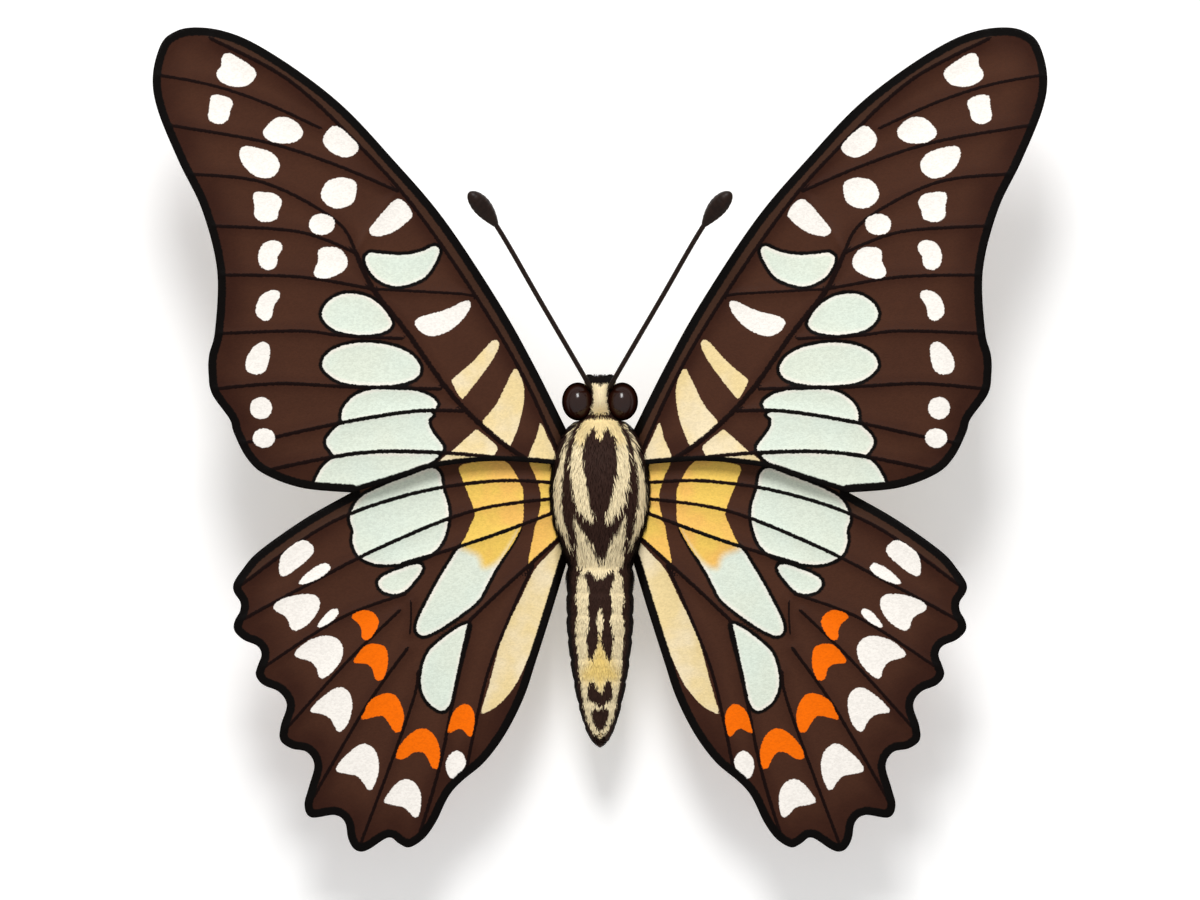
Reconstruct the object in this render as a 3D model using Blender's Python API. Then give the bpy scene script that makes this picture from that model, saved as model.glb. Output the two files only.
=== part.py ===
"""A veined jay butterfly at life size, standing on its six feet with its wings spread.

Metres, +Z up. The head points along +Y and the left wings reach along -X. The plan outline is
read from a picture of the butterfly seen straight from above, so points of the outline are kept in
that picture's own pixels and the real wingspan turns them into metres.
"""

import math

import bmesh
import bpy
from mathutils import Vector
from mathutils.geometry import delaunay_2d_cdt

MM = 0.001

# The real wingspan, and what turns a pixel of the picture (x to the right, y down) into metres.
WING_SPAN = 70 * MM
SPAN_IN_PIXELS = 892.6
PIXEL = WING_SPAN / SPAN_IN_PIXELS
MIDLINE_PIXEL = 600
CENTRE_PIXEL = 439.5

# Clearance between nodes that touch, and the thinnest a limb, feeler or wing is made.
GAP = 0.3 * MM
THIN = 0.5 * MM

# Wings: height of the root, the rise towards the tips, the arch of the membrane, and the veins.
WING_THICKNESS = THIN
WING_ROOT_X = 3.4 * MM
FOREWING_HEIGHT = 8.75 * MM
WING_RISE = math.tan(math.radians(6))
TIP_LIFT = 0.7 * MM
FOREWING_REACH = 31.6 * MM
FOREWING_ARCH = 0.8 * MM
FOREWING_DEPTH = 19 * MM
HINDWING_BELOW = 1.2 * MM
HINDWING_FRONT_Y = -2.5 * MM
HINDWING_LENGTH = 30 * MM
HINDWING_ARCH = 0.6 * MM
HINDWING_DROOP = 1.6 * MM
VEIN_HEIGHT = 0.2 * MM
VEIN_HALF_WIDTH = 0.4 * MM
VEIN_STEP = 2.0 * MM
OUTLINE_STEP = 1.3 * MM
MEMBRANE_STEP = 3.2 * MM
UNDERSIDE_RIDGE = 0.6

# The forewing's edge from the root round the apex to the rear corner, and its rear edge back in.
FOREWING_EDGE = [
    (566, 429), (534, 365), (498, 301), (443, 218), (390, 156), (345, 108), (300, 72), (254, 43),
    (222, 30.5), (194, 27.3), (175, 31.5), (161, 44), (153.4, 76), (158, 110), (179, 162),
    (202, 210), (217, 270), (215, 330), (209, 355), (209, 378), (216, 402), (230, 419), (234, 434),
    (246, 457), (264, 474), (302, 488), (352, 492.7),
]
FOREWING_REAR_EDGE = [(352, 492.7), (401, 477.6), (436, 467), (496, 461), (546, 464)]

# The hindwing's front edge under the forewing, its scalloped edge and its edge beside the abdomen.
HINDWING_FRONT_EDGE = [(546, 448), (500, 440), (440, 446), (390, 464), (352, 492)]
HINDWING_EDGE = [
    (352, 492), (305, 518.5), (259, 551), (242, 570), (233.2, 587), (240.6, 607), (233.6, 626),
    (243.2, 639.7), (257.3, 646), (261.5, 654.6), (255.6, 673), (263.1, 684.9), (278.9, 691.9), (286.8, 705),
    (280, 732), (291.1, 748.5), (306.8, 752.1), (314.3, 765.4), (304.4, 803), (313, 818.4), (334.7, 815.1),
    (345.4, 823.5), (349.5, 843), (361.2, 851.8), (388.6, 837.5), (409.2, 847.5), (424, 838.5), (436, 822),
    (448, 796), (463, 780), (485, 761.5), (506, 733), (524, 697), (535, 663), (547, 622), (564, 572),
]

# Veins, each from its branching point out towards the edge.
FOREWING_VEINS = {
    "radial": [(549, 443), (522.6, 375), (475, 295), (413, 206), (361, 147.5), (290, 81), (213, 40)],
    "outer_radial": [(320, 128), (265, 103), (211, 85), (163, 76)],
    "radial_sector": [(397, 191), (336, 165), (265, 142), (178, 125.5)],
    "cell_end": [(397, 191), (374, 223), (356, 253)],
    "first_median": [(356, 253), (336, 220.7), (265, 183), (197, 174)],
    "second_median": [(356, 253), (300, 232), (221, 226)],
    "third_median": [(373, 289), (300, 277), (229, 275)],
    "cell_bar": [(373, 289), (463, 294)],
    "cubital": [(520, 458), (496, 438), (452, 395), (406, 331), (373, 289), (356, 253)],
    "first_cubital": [(402, 338.6), (343, 335.7), (300, 331), (227, 333)],
    "second_cubital": [(440, 389), (352, 387), (280, 383.6), (221, 388)],
    "first_anal": [(464, 411), (414, 411.3), (343, 422.5), (249, 442)],
    "second_anal": [(508, 456), (441, 452.7), (360, 453), (282, 467)],
}
HINDWING_VEINS = {
    "subcostal": [(540, 482), (495, 481), (414, 493.3), (328, 524.3), (247, 580)],
    "radial": [(540, 500), (474, 510.5), (385.7, 545), (305, 586), (247, 618)],
    "upper_cell": [(540, 519), (495, 534.6), (403, 563.3)],
    "cell_end": [(403, 563.3), (404, 596), (410, 635)],
    "first_median": [(404, 596), (340, 618.4), (271, 663)],
    "second_median": [(404, 606), (349, 659.7), (291, 723)],
    "third_median": [(408, 648), (366, 706.8), (317, 791)],
    "first_cubital": [(410, 635), (417, 687), (395.6, 750.5), (361, 838)],
    "lower_cell": [(543, 556), (506, 586), (470, 620), (420, 650)],
    "second_cubital": [(470, 620), (457, 680), (439, 769), (421, 830)],
    "anal": [(524, 578), (490, 666), (462, 764)],
}

# Body cross-sections from the head backwards: y, half width, top and underside, in millimetres.
THORAX_SECTIONS = [
    (1.62, 0.85, 7.9, 6.2), (1.45, 1.55, 8.3, 5.6), (1.0, 2.25, 8.8, 5.1), (0.5, 2.75, 9.2, 4.8),
    (-0.35, 3.3, 9.8, 4.5), (-2.15, 3.8, 10.5, 4.15), (-3.95, 4.04, 10.75, 4.0),
    (-5.85, 3.92, 10.6, 4.05), (-7.35, 3.53, 10.2, 4.3), (-8.5, 3.0, 9.7, 4.6), (-9.4, 2.6, 9.3, 4.9),
]
PROTHORAX_REAR = 0.75 * MM
THORAX_REAR = -9.4 * MM
ABDOMEN_SECTIONS = [
    (-9.7, 2.4, 9.1, 5.0), (-10.6, 2.6, 9.35, 4.65), (-14.4, 2.6, 9.3, 4.3), (-16.5, 2.42, 8.95, 4.2),
    (-18.6, 2.14, 8.5, 4.25), (-20.6, 1.75, 8.0, 4.4), (-22.3, 1.3, 7.35, 4.6), (-23.5, 0.75, 6.7, 4.95),
    (-24.2, 0.15, 6.05, 5.55),
]
ABDOMEN_RINGS = 9
RING_GROOVE = 0.045

# Head, eyes, mouthparts and antennae.
HEAD_CENTRE = Vector((0, 3.15, 7.0)) * MM
HEAD_RADII = Vector((1.5, 1.3, 1.85)) * MM
EYE_CENTRE = Vector((1.73, 2.98, 7.15)) * MM
EYE_RADII = Vector((1.26, 1.5, 1.65)) * MM
EYE_INNER_X = 0.95 * MM
ANTENNA_ROOT_X = 0.5 * MM
ANTENNA_ROOT_Y = 4.05 * MM
ANTENNA_BEND = (496, 225)
ANTENNA_TIP = (469, 192)
ANTENNA_RISE = math.tan(math.radians(20))
ANTENNA_STEM = 0.55 * MM
ANTENNA_END_RADIUS = 0.3 * MM
CLUB_LENGTH = 3.6 * MM
CLUB_RADIUS = 0.8 * MM
PROBOSCIS_CENTRE = Vector((0, 3.7, 3.55)) * MM
PROBOSCIS_RADIUS = 1.3 * MM
PROBOSCIS_TURNS = 1.25
PROBOSCIS_PITCH = 0.8 * MM
PROBOSCIS_STEPS = 26
PALP_ROOT_X = 0.7 * MM
PALP_ROOT_Y = 3.75 * MM
PALP_CORNERS = [(0.8, 4.3, 4.75), (0.85, 4.8, 5.35), (0.8, 5.0, 6.2), (0.72, 4.98, 7.0), (0.66, 4.98, 7.6)]
PALP_RADIUS = 0.34 * MM
PALP_TAPER = 0.14 * MM

# Legs: thickness, and for each pair the root on the body, the knee, the ankle and the foot's end.
SHIN_RADIUS = 0.27 * MM
HEEL_REACH = 0.8 * MM
THIGH_RADIUS = 0.4 * MM
COXA_RADIUS = 0.5 * MM
LEG_SIDES = 8
LEGS = {
    "fore": {"root_y": 1.12, "angle": 24, "hip": (1.75, 0.35, 3.5), "knee": (5.2, 1.0, 5.5),
             "ankle": (6.9, 3.4, 0.5), "foot": (9.6, 7.2)},
    "mid": {"root_y": -2.6, "angle": 26, "hip": (2.5, -2.8, 3.0), "knee": (6.8, -3.2, 5.9),
            "ankle": (8.9, -4.0, 0.5), "foot": (13.3, -6.2)},
    "hind": {"root_y": -6.0, "angle": 26, "hip": (2.3, -6.9, 3.0), "knee": (5.8, -11.0, 5.9),
             "ankle": (7.6, -15.2, 0.5), "foot": (9.7, -19.9)},
}

SIDES = {"left": -1, "right": 1}

COLOURS = {
    "wing": (0.065, 0.022, 0.013, 0.45),
    "hindwing": (0.20, 0.12, 0.035, 0.5),
    "body": (0.035, 0.014, 0.01, 0.7),
    "abdomen": (0.78, 0.66, 0.32, 0.65),
    "head": (0.055, 0.024, 0.015, 0.7),
    "eye": (0.028, 0.012, 0.01, 0.2),
    "leg": (0.06, 0.032, 0.02, 0.5),
    "antenna": (0.018, 0.01, 0.008, 0.45),
    "mouth": (0.12, 0.06, 0.03, 0.4),
}


def plan(point):
    """The place on the right side of the body, in metres, of a pixel on the picture's left side."""
    return Vector(((MIDLINE_PIXEL - point[0]) * PIXEL, (CENTRE_PIXEL - point[1]) * PIXEL))


def spline(points, at):
    """The Catmull-Rom curve through the points; at runs from 0 to the number of spans."""
    last = len(points) - 1
    span = min(int(at), last - 1)
    t = at - span
    a, b = points[max(span - 1, 0)], points[span]
    c, d = points[span + 1], points[min(span + 2, last)]
    slope = (c - a) * t + (2 * a - 5 * b + 4 * c - d) * t * t + (3 * b - a - 3 * c + d) * t ** 3
    return b + slope * 0.5


def run(points, step):
    """Points a near-even step apart along the smooth curve through the given ones."""
    result = [points[0]]
    for span in range(len(points) - 1):
        length = (points[span + 1] - points[span]).length
        parts = max(1, round(length / step))
        result += [spline(points, span + (k + 1) / parts) for k in range(parts)]
    return result


def section(sections, y):
    """Half width, top and underside of the body at a distance y along it."""
    rows = [Vector((row[1], row[2], row[3])) * MM for row in sections]
    places = [row[0] * MM for row in sections]
    y = min(max(y, places[-1]), places[0])
    span = max(k for k in range(len(places)) if places[k] >= y)
    if span == len(places) - 1:
        return rows[-1]
    part = (places[span] - y) / (places[span] - places[span + 1])
    return spline(rows, span + part)


def body_side(y, z):
    """How far the body's side is from the midline at a place along it and a height."""
    half, top, under = section(THORAX_SECTIONS if y > THORAX_REAR else ABDOMEN_SECTIONS, y)
    level = (z - (top + under) / 2) / ((top - under) / 2)
    return half * math.sqrt(max(0.0, 1 - level * level))


def body_surface(sections, y, angle):
    """A point on the body's underside and its outward direction, at an angle from straight down."""
    half, top, under = section(sections, y)
    tall = (top - under) / 2
    point = Vector((half * math.sin(angle), y, (top + under) / 2 - tall * math.cos(angle)))
    normal = Vector((math.sin(angle) / half, 0, -math.cos(angle) / tall)).normalized()
    return point, normal


def forewing_height(x, y):
    """Height of the forewing's middle surface over a place on the right side."""
    out = max(x - WING_ROOT_X, 0)
    height = FOREWING_HEIGHT + out * WING_RISE + TIP_LIFT * (out / FOREWING_REACH) ** 2
    front, apex = plan(FOREWING_EDGE[0]), plan(FOREWING_EDGE[9])
    along = (apex - front).normalized()
    behind = (x - front.x) * along.y - (y - front.y) * along.x
    share = min(max(behind / FOREWING_DEPTH, 0), 1)
    return height + FOREWING_ARCH * math.sin(math.pi * share) * min(out / FOREWING_DEPTH, 1)


def hindwing_height(x, y):
    """Height of the hindwing's middle surface, always clear below the forewing's rear edge."""
    out = max(x - WING_ROOT_X, 0)
    height = FOREWING_HEIGHT - HINDWING_BELOW + out * WING_RISE
    share = min(max((HINDWING_FRONT_Y - y) / HINDWING_LENGTH, 0), 1)
    return height + HINDWING_ARCH * math.sin(math.pi * share) - HINDWING_DROOP * share


def root_edge(front_y, rear_y, height):
    """The wing's edge along the body, from the rear forwards, a clearance away from its side."""
    count = max(2, round((front_y - rear_y) / OUTLINE_STEP))
    edge = []
    for k in range(count + 1):
        y = rear_y + (front_y - rear_y) * k / count
        low = height(WING_ROOT_X, y) - WING_THICKNESS / 2
        edge.append(Vector((body_side(y, low) + GAP, y)))
    return edge


def distance_to_line(point, line):
    """Distance from a point to the nearest stretch of a line of points."""
    best = math.inf
    for a, b in zip(line, line[1:]):
        along = b - a
        share = min(max((point - a).dot(along) / along.length_squared, 0), 1)
        best = min(best, (a + along * share - point).length)
    return best


def inside(point, outline):
    """Whether a point lies within a closed outline."""
    crossings = 0
    for a, b in zip(outline, outline[1:] + outline[:1]):
        if (a.y > point.y) != (b.y > point.y):
            crossings += point.x < a.x + (b.x - a.x) * (point.y - a.y) / (b.y - a.y)
    return crossings % 2 == 1


def wing_points(outline, veins):
    """Points of the membrane: the outline, the crest and both feet of each vein, and a fill."""
    closed = outline + outline[:1]
    points = list(outline)
    edges = [(k, (k + 1) % len(outline)) for k in range(len(outline))]
    margin = VEIN_HALF_WIDTH * 0.9
    for vein in veins.values():
        start = len(points)
        points += vein
        edges += [(start + k, start + k + 1) for k in range(len(vein) - 1)]
    for name, vein in veins.items():
        others = [line for other, line in veins.items() if other != name]
        for k, place in enumerate(vein):
            along = (vein[min(k + 1, len(vein) - 1)] - vein[max(k - 1, 0)]).normalized()
            for side in (-1, 1):
                foot = place + Vector((-along.y, along.x)) * VEIN_HALF_WIDTH * side
                clear = all(distance_to_line(foot, line) > margin for line in others)
                if clear and inside(foot, outline) and distance_to_line(foot, closed) > margin:
                    points.append(foot)
    feet = list(points)
    low_x, high_x = min(p.x for p in outline), max(p.x for p in outline)
    low_y, high_y = min(p.y for p in outline), max(p.y for p in outline)
    row_step = MEMBRANE_STEP * math.sqrt(0.75)
    for row in range(int((high_y - low_y) / row_step) + 1):
        for column in range(int((high_x - low_x) / MEMBRANE_STEP) + 2):
            x = low_x + (column + 0.5 * (row % 2)) * MEMBRANE_STEP
            place = Vector((x, low_y + row * row_step))
            if inside(place, outline) and all((place - p).length > MEMBRANE_STEP * 0.45 for p in feet):
                points.append(place)
    return points, edges


def make_wing(name, side, outline, vein_pixels, height):
    """A thin curved wing, split into triangles alike on both faces, with its veins as ridges."""
    veins = {key: run([plan(p) for p in line], VEIN_STEP) for key, line in vein_pixels.items()}
    points, edges = wing_points(outline, veins)
    loop = list(range(len(outline)))
    flat, _, faces = delaunay_2d_cdt(points, edges, [loop], 1, 0.02 * MM, False)[:3]
    faces = [face for face in faces if inside(sum((flat[k] for k in face), Vector((0, 0))) / 3, outline)]
    mesh = bmesh.new()
    top, under = [], []
    for point in flat:
        near = min(distance_to_line(point, line) for line in veins.values())
        ridge = VEIN_HEIGHT * max(0.0, 1 - near / VEIN_HALF_WIDTH)
        middle = height(point.x, point.y)
        upper = middle + WING_THICKNESS / 2 + ridge
        lower = middle - WING_THICKNESS / 2 - ridge * UNDERSIDE_RIDGE
        top.append(mesh.verts.new((side * point.x, point.y, upper)))
        under.append(mesh.verts.new((side * point.x, point.y, lower)))
    uses = {}
    for face in faces:
        mesh.faces.new([top[k] for k in face])
        mesh.faces.new([under[k] for k in reversed(face)])
        for a, b in zip(face, face[1:] + face[:1]):
            uses.setdefault(frozenset((a, b)), []).append((a, b))
    for pairs in uses.values():
        if len(pairs) == 1:
            a, b = pairs[0]
            mesh.faces.new((top[b], top[a], under[a], under[b]))
    return finish(name, mesh, sharp=40)


def finish(name, mesh, sharp=60):
    """Turn a closed bmesh into a named object with its faces split and pointing out."""
    bmesh.ops.remove_doubles(mesh, verts=mesh.verts, dist=0.001 * MM)
    loose = [vert for vert in mesh.verts if not vert.link_faces]
    bmesh.ops.delete(mesh, geom=loose, context="VERTS")
    bmesh.ops.recalc_face_normals(mesh, faces=mesh.faces)
    bmesh.ops.triangulate(mesh, faces=mesh.faces)
    data = bpy.data.meshes.new(name)
    mesh.to_mesh(data)
    mesh.free()
    data.shade_smooth()
    data.set_sharp_from_angle(angle=math.radians(sharp))
    piece = bpy.data.objects.new(name, data)
    bpy.context.collection.objects.link(piece)
    return piece


def colour(piece, key):
    """Give a piece its own material."""
    red, green, blue, roughness = COLOURS[key]
    material = bpy.data.materials.new(piece.name)
    material.use_nodes = True
    shader = material.node_tree.nodes["Principled BSDF"]
    shader.inputs["Base Color"].default_value = (red, green, blue, 1)
    shader.inputs["Roughness"].default_value = roughness
    piece.data.materials.append(material)
    return piece


def skin_rings(mesh, rings):
    """Join rings of points into one closed skin with flat ends."""
    loops = [[mesh.verts.new(point) for point in ring] for ring in rings]
    for first, second in zip(loops, loops[1:]):
        for k in range(len(first)):
            after = (k + 1) % len(first)
            mesh.faces.new((first[k], first[after], second[after], second[k]))
    mesh.faces.new(loops[0])
    mesh.faces.new(loops[-1][::-1])


def body_ring(sections, y, sides, swell=1.0):
    """One elliptical ring of the body."""
    half, top, under = section(sections, y)
    middle, tall = (top + under) / 2, (top - under) / 2
    ring = []
    for k in range(sides):
        angle = 2 * math.pi * (k + 0.5) / sides
        ring.append((swell * half * math.sin(angle), y, middle + swell * tall * math.cos(angle)))
    return ring


def tube(name, path, radii, sides, sole=False):
    """A round limb along a path; with sole its underside is flattened onto the floor."""
    mesh = bmesh.new()
    rings = []
    for k, centre in enumerate(path):
        along = (path[min(k + 1, len(path) - 1)] - path[max(k - 1, 0)]).normalized()
        across = along.cross(Vector((0, 0, 1)))
        if across.length < 0.02:
            across = Vector((1, 0, 0))
        across.normalize()
        if k and across.dot(before) < 0:
            across.negate()
        before = across
        up = across.cross(along)
        ring = []
        for j in range(sides):
            angle = 2 * math.pi * (j + 0.5) / sides
            ring.append(centre + (across * math.sin(angle) + up * math.cos(angle)) * radii[k])
        rings.append(ring)
    skin_rings(mesh, rings)
    if sole:
        for vert in mesh.verts:
            if vert.co.z < 0.06 * MM:
                vert.co.z = 0
    return finish(name, mesh)


def ellipsoid(name, centre, radii, across, around, side=1):
    """An ellipsoid with its poles up and down."""
    mesh = bmesh.new()
    bmesh.ops.create_uvsphere(mesh, u_segments=around, v_segments=across, radius=1)
    bmesh.ops.scale(mesh, vec=radii, verts=mesh.verts)
    bmesh.ops.translate(mesh, vec=(side * centre.x, centre.y, centre.z), verts=mesh.verts)
    return finish(name, mesh)


def subtract(piece, cutter):
    """Cut a piece clear of another body and apply the cut."""
    cut = piece.modifiers.new("Clearance", "BOOLEAN")
    cut.operation = "DIFFERENCE"
    cut.solver = "EXACT"
    cut.object = cutter
    graph = bpy.context.evaluated_depsgraph_get()
    shape = bpy.data.meshes.new_from_object(piece.evaluated_get(graph))
    piece.modifiers.clear()
    piece.data = shape
    bpy.data.objects.remove(cutter)


def flat_inside(piece, side, inner):
    """Cut a piece flat on its inner side, at a distance from the midline, and close the cut."""
    mesh = bmesh.new()
    mesh.from_mesh(piece.data)
    everything = list(mesh.verts) + list(mesh.edges) + list(mesh.faces)
    cut = bmesh.ops.bisect_plane(mesh, geom=everything, plane_co=(side * inner, 0, 0),
                                 plane_no=(-side, 0, 0), clear_outer=True)
    rim = [item for item in cut["geom_cut"] if isinstance(item, bmesh.types.BMEdge)]
    bmesh.ops.edgeloop_fill(mesh, edges=rim)
    bmesh.ops.recalc_face_normals(mesh, faces=mesh.faces)
    bmesh.ops.triangulate(mesh, faces=mesh.faces)
    mesh.to_mesh(piece.data)
    mesh.free()


def make_eyes():
    """The compound eyes, flat on the inner side where they sit against the head."""
    for word, side in SIDES.items():
        eye = ellipsoid(f"eye_{word}", EYE_CENTRE, EYE_RADII, 12, 18, side)
        flat_inside(eye, side, EYE_INNER_X)
        colour(eye, "eye")


def clear_of_eyes(piece):
    """Sink the eyes' sockets into a piece, a clearance wider than the eyes and flat inside."""
    wide = EYE_RADII + Vector((GAP, GAP, GAP))
    for side in SIDES.values():
        socket = ellipsoid("socket", EYE_CENTRE, wide, 12, 18, side)
        flat_inside(socket, side, EYE_INNER_X - GAP)
        subtract(piece, socket)


def make_head():
    """The head capsule with the eyes' sockets sunk into its sides."""
    head = ellipsoid("head", HEAD_CENTRE, HEAD_RADII, 14, 20)
    clear_of_eyes(head)
    colour(head, "head")


def head_surface(x, y, up=1):
    """The top of the head over a place, or its underside with up at -1, and its outward direction."""
    part = 1 - (x / HEAD_RADII.x) ** 2 - ((y - HEAD_CENTRE.y) / HEAD_RADII.y) ** 2
    z = HEAD_CENTRE.z + up * HEAD_RADII.z * math.sqrt(part)
    normal = Vector((x / HEAD_RADII.x ** 2, (y - HEAD_CENTRE.y) / HEAD_RADII.y ** 2,
                     (z - HEAD_CENTRE.z) / HEAD_RADII.z ** 2))
    return Vector((x, y, z)), normal.normalized()


def make_antennae():
    """Straight feelers that rise from the crown, each ending in a flattened club."""
    surface, normal = head_surface(ANTENNA_ROOT_X, ANTENNA_ROOT_Y)
    root = surface + normal * GAP
    bend, tip = plan(ANTENNA_BEND), plan(ANTENNA_TIP)
    first = Vector((1.1 * MM, 5.0 * MM))
    corners = [root]
    for place in (first, (first + bend) / 2, bend, tip):
        rise = (place - first).length * ANTENNA_RISE
        corners.append(Vector((place.x, place.y, root.z + ANTENNA_STEM + rise)))
    path = run(corners, 1.0 * MM)
    length = [0.0]
    for a, b in zip(path, path[1:]):
        length.append(length[-1] + (b - a).length)
    radii = []
    for distance in length:
        share = max(0.0, 1 - (length[-1] - distance) / CLUB_LENGTH)
        club = math.sin(math.pi * min(share, 1) ** 1.25) ** 0.7
        radii.append(THIN / 2 + (CLUB_RADIUS - THIN / 2) * club)
    radii[0] = ANTENNA_END_RADIUS
    radii[-1] = ANTENNA_END_RADIUS
    for word, side in SIDES.items():
        antenna = tube(f"antenna_{word}", [Vector((side * p.x, p.y, p.z)) for p in path], radii, 8)
        colour(antenna, "antenna")


def make_mouthparts():
    """The two palps in front of the face and the coiled tongue between them."""
    surface, normal = head_surface(PALP_ROOT_X, PALP_ROOT_Y, -1)
    stem = [surface + normal * GAP] + [Vector(corner) * MM for corner in PALP_CORNERS]
    for word, side in SIDES.items():
        path = run([Vector((side * p.x, p.y, p.z)) for p in stem], 0.6 * MM)
        last = len(path) - 1
        radii = [PALP_RADIUS - PALP_TAPER * (k / last) ** 3 for k in range(len(path))]
        colour(tube(f"palp_{word}", path, radii, 8), "head")
    coil = [Vector((0, 3.6, 4.8)) * MM]
    for k in range(PROBOSCIS_STEPS + 1):
        turn = 2 * math.pi * PROBOSCIS_TURNS * k / PROBOSCIS_STEPS
        radius = PROBOSCIS_RADIUS - PROBOSCIS_PITCH * turn / (2 * math.pi)
        angle = math.radians(65) - turn
        coil.append(PROBOSCIS_CENTRE + Vector((0, math.cos(angle), math.sin(angle))) * radius)
    colour(tube("proboscis", coil, [THIN / 2] * len(coil), 6), "mouth")


def make_body():
    """Prothorax, thorax and ringed abdomen, each with flat ends that face the next."""
    front = THORAX_SECTIONS[0][0] * MM
    prothorax = bmesh.new()
    stations = [front, 1.45 * MM, 1.2 * MM, 1.0 * MM, PROTHORAX_REAR]
    skin_rings(prothorax, [body_ring(THORAX_SECTIONS, y, 24) for y in stations])
    collar = finish("prothorax", prothorax)
    clear_of_eyes(collar)
    colour(collar, "body")

    thorax = bmesh.new()
    start = PROTHORAX_REAR - GAP
    stations = [start + (THORAX_REAR - start) * k / 14 for k in range(15)]
    skin_rings(thorax, [body_ring(THORAX_SECTIONS, y, 28) for y in stations])
    colour(finish("thorax", thorax), "body")

    abdomen = bmesh.new()
    start, end = ABDOMEN_SECTIONS[0][0] * MM, ABDOMEN_SECTIONS[-1][0] * MM
    rings = []
    for k in range(ABDOMEN_RINGS * 3):
        share = k / (ABDOMEN_RINGS * 3 - 1)
        swell = 1 - RING_GROOVE * (k % 3 == 0)
        rings.append(body_ring(ABDOMEN_SECTIONS, start + (end - start) * share, 20, swell))
    skin_rings(abdomen, rings)
    colour(finish("abdomen", abdomen), "abdomen")


def leg_path(leg):
    """The leg's middle line and its thickness, for the right side."""
    surface, normal = body_surface(THORAX_SECTIONS, leg["root_y"] * MM, math.radians(leg["angle"]))
    root = surface + normal * GAP
    hip, knee, ankle = (Vector(leg[key]) * MM for key in ("hip", "knee", "ankle"))
    floor = SHIN_RADIUS * math.cos(math.pi / LEG_SIDES)
    foot = Vector((leg["foot"][0] * MM, leg["foot"][1] * MM, floor))
    heel = Vector((ankle.x, ankle.y, 0))
    heel += (Vector((foot.x, foot.y, 0)) - heel).normalized() * HEEL_REACH
    heel.z = floor
    toe = heel.lerp(foot, 0.9)
    path = [
        root, root + normal * 0.25 * MM, root.lerp(hip, 0.6), root.lerp(hip, 0.92), hip.lerp(knee, 0.08),
        hip.lerp(knee, 0.45), hip.lerp(knee, 0.93), knee.lerp(ankle, 0.06), knee.lerp(ankle, 0.5),
        knee.lerp(ankle, 0.94), heel, heel.lerp(foot, 0.33), heel.lerp(foot, 0.66), toe, foot,
    ]
    coxa, thigh, shin = COXA_RADIUS, THIGH_RADIUS, SHIN_RADIUS
    radii = [coxa, coxa, coxa, thigh * 0.9, thigh * 0.85, thigh, thigh * 0.8, shin * 1.1, shin, shin,
             shin, shin, shin, shin, shin * 0.75]
    path[-1].z = radii[-1] * math.cos(math.pi / LEG_SIDES)
    return path, radii


def make_legs():
    """Six walking legs, knees raised, with the feet lying flat on the floor."""
    for pair, leg in LEGS.items():
        path, radii = leg_path(leg)
        for word, side in SIDES.items():
            mirrored = [Vector((side * p.x, p.y, p.z)) for p in path]
            limb = tube(f"leg_{pair}_{word}", mirrored, radii, LEG_SIDES, sole=True)
            colour(limb, "leg")


def make_wings():
    """The forewings over the hindwings, from their outlines and veins."""
    front = run([plan(p) for p in FOREWING_EDGE], OUTLINE_STEP)
    rear = run([plan(p) for p in FOREWING_REAR_EDGE], OUTLINE_STEP)
    root = root_edge(front[0].y, rear[-1].y, forewing_height)
    forewing = front[:-1] + rear[:-1] + root[:-1]
    front = run([plan(p) for p in HINDWING_FRONT_EDGE], OUTLINE_STEP)
    rear = run([plan(p) for p in HINDWING_EDGE], OUTLINE_STEP)
    root = root_edge(front[0].y, rear[-1].y, hindwing_height)
    hindwing = front[:-1] + rear[:-1] + root[:-1]
    forewing[0].x = body_side(forewing[0].y, FOREWING_HEIGHT - WING_THICKNESS / 2) + GAP
    for word, side in SIDES.items():
        wing = make_wing(f"forewing_{word}", side, forewing, FOREWING_VEINS, forewing_height)
        colour(wing, "wing")
        wing = make_wing(f"hindwing_{word}", side, hindwing, HINDWING_VEINS, hindwing_height)
        colour(wing, "hindwing")


def main():
    for item in list(bpy.data.objects):
        bpy.data.objects.remove(item)
    make_body()
    make_head()
    make_eyes()
    make_antennae()
    make_mouthparts()
    make_legs()
    make_wings()


main()
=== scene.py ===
# %% [markdown]
# # A veined jay butterfly, dressed for the museum
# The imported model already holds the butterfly's size, its wing plates, its ringed body and its six
# legs. This lesson gives it the looks: scaled wings with their spots, a furred body, faceted eyes,
# ringed feelers and spined legs. Everything is in metres, with the head towards +Y and +Z up.

# %% The frame and the tools
import math

import bmesh
import bpy
import numpy as np
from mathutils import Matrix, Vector


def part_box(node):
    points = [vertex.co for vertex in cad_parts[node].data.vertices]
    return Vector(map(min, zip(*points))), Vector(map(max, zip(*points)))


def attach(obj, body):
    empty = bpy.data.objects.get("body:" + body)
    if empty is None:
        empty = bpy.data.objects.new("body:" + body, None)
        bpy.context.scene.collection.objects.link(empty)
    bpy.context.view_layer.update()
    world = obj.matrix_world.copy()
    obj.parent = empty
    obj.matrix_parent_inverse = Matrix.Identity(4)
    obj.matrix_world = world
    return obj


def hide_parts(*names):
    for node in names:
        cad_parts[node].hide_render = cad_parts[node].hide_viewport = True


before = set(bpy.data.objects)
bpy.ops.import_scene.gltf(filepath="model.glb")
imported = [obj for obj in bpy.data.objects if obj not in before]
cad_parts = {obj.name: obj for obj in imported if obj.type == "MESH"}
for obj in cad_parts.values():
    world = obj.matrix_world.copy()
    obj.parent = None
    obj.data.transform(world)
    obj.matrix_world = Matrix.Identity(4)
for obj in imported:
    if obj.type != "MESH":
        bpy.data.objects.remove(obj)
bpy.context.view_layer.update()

MM = 0.001

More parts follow.
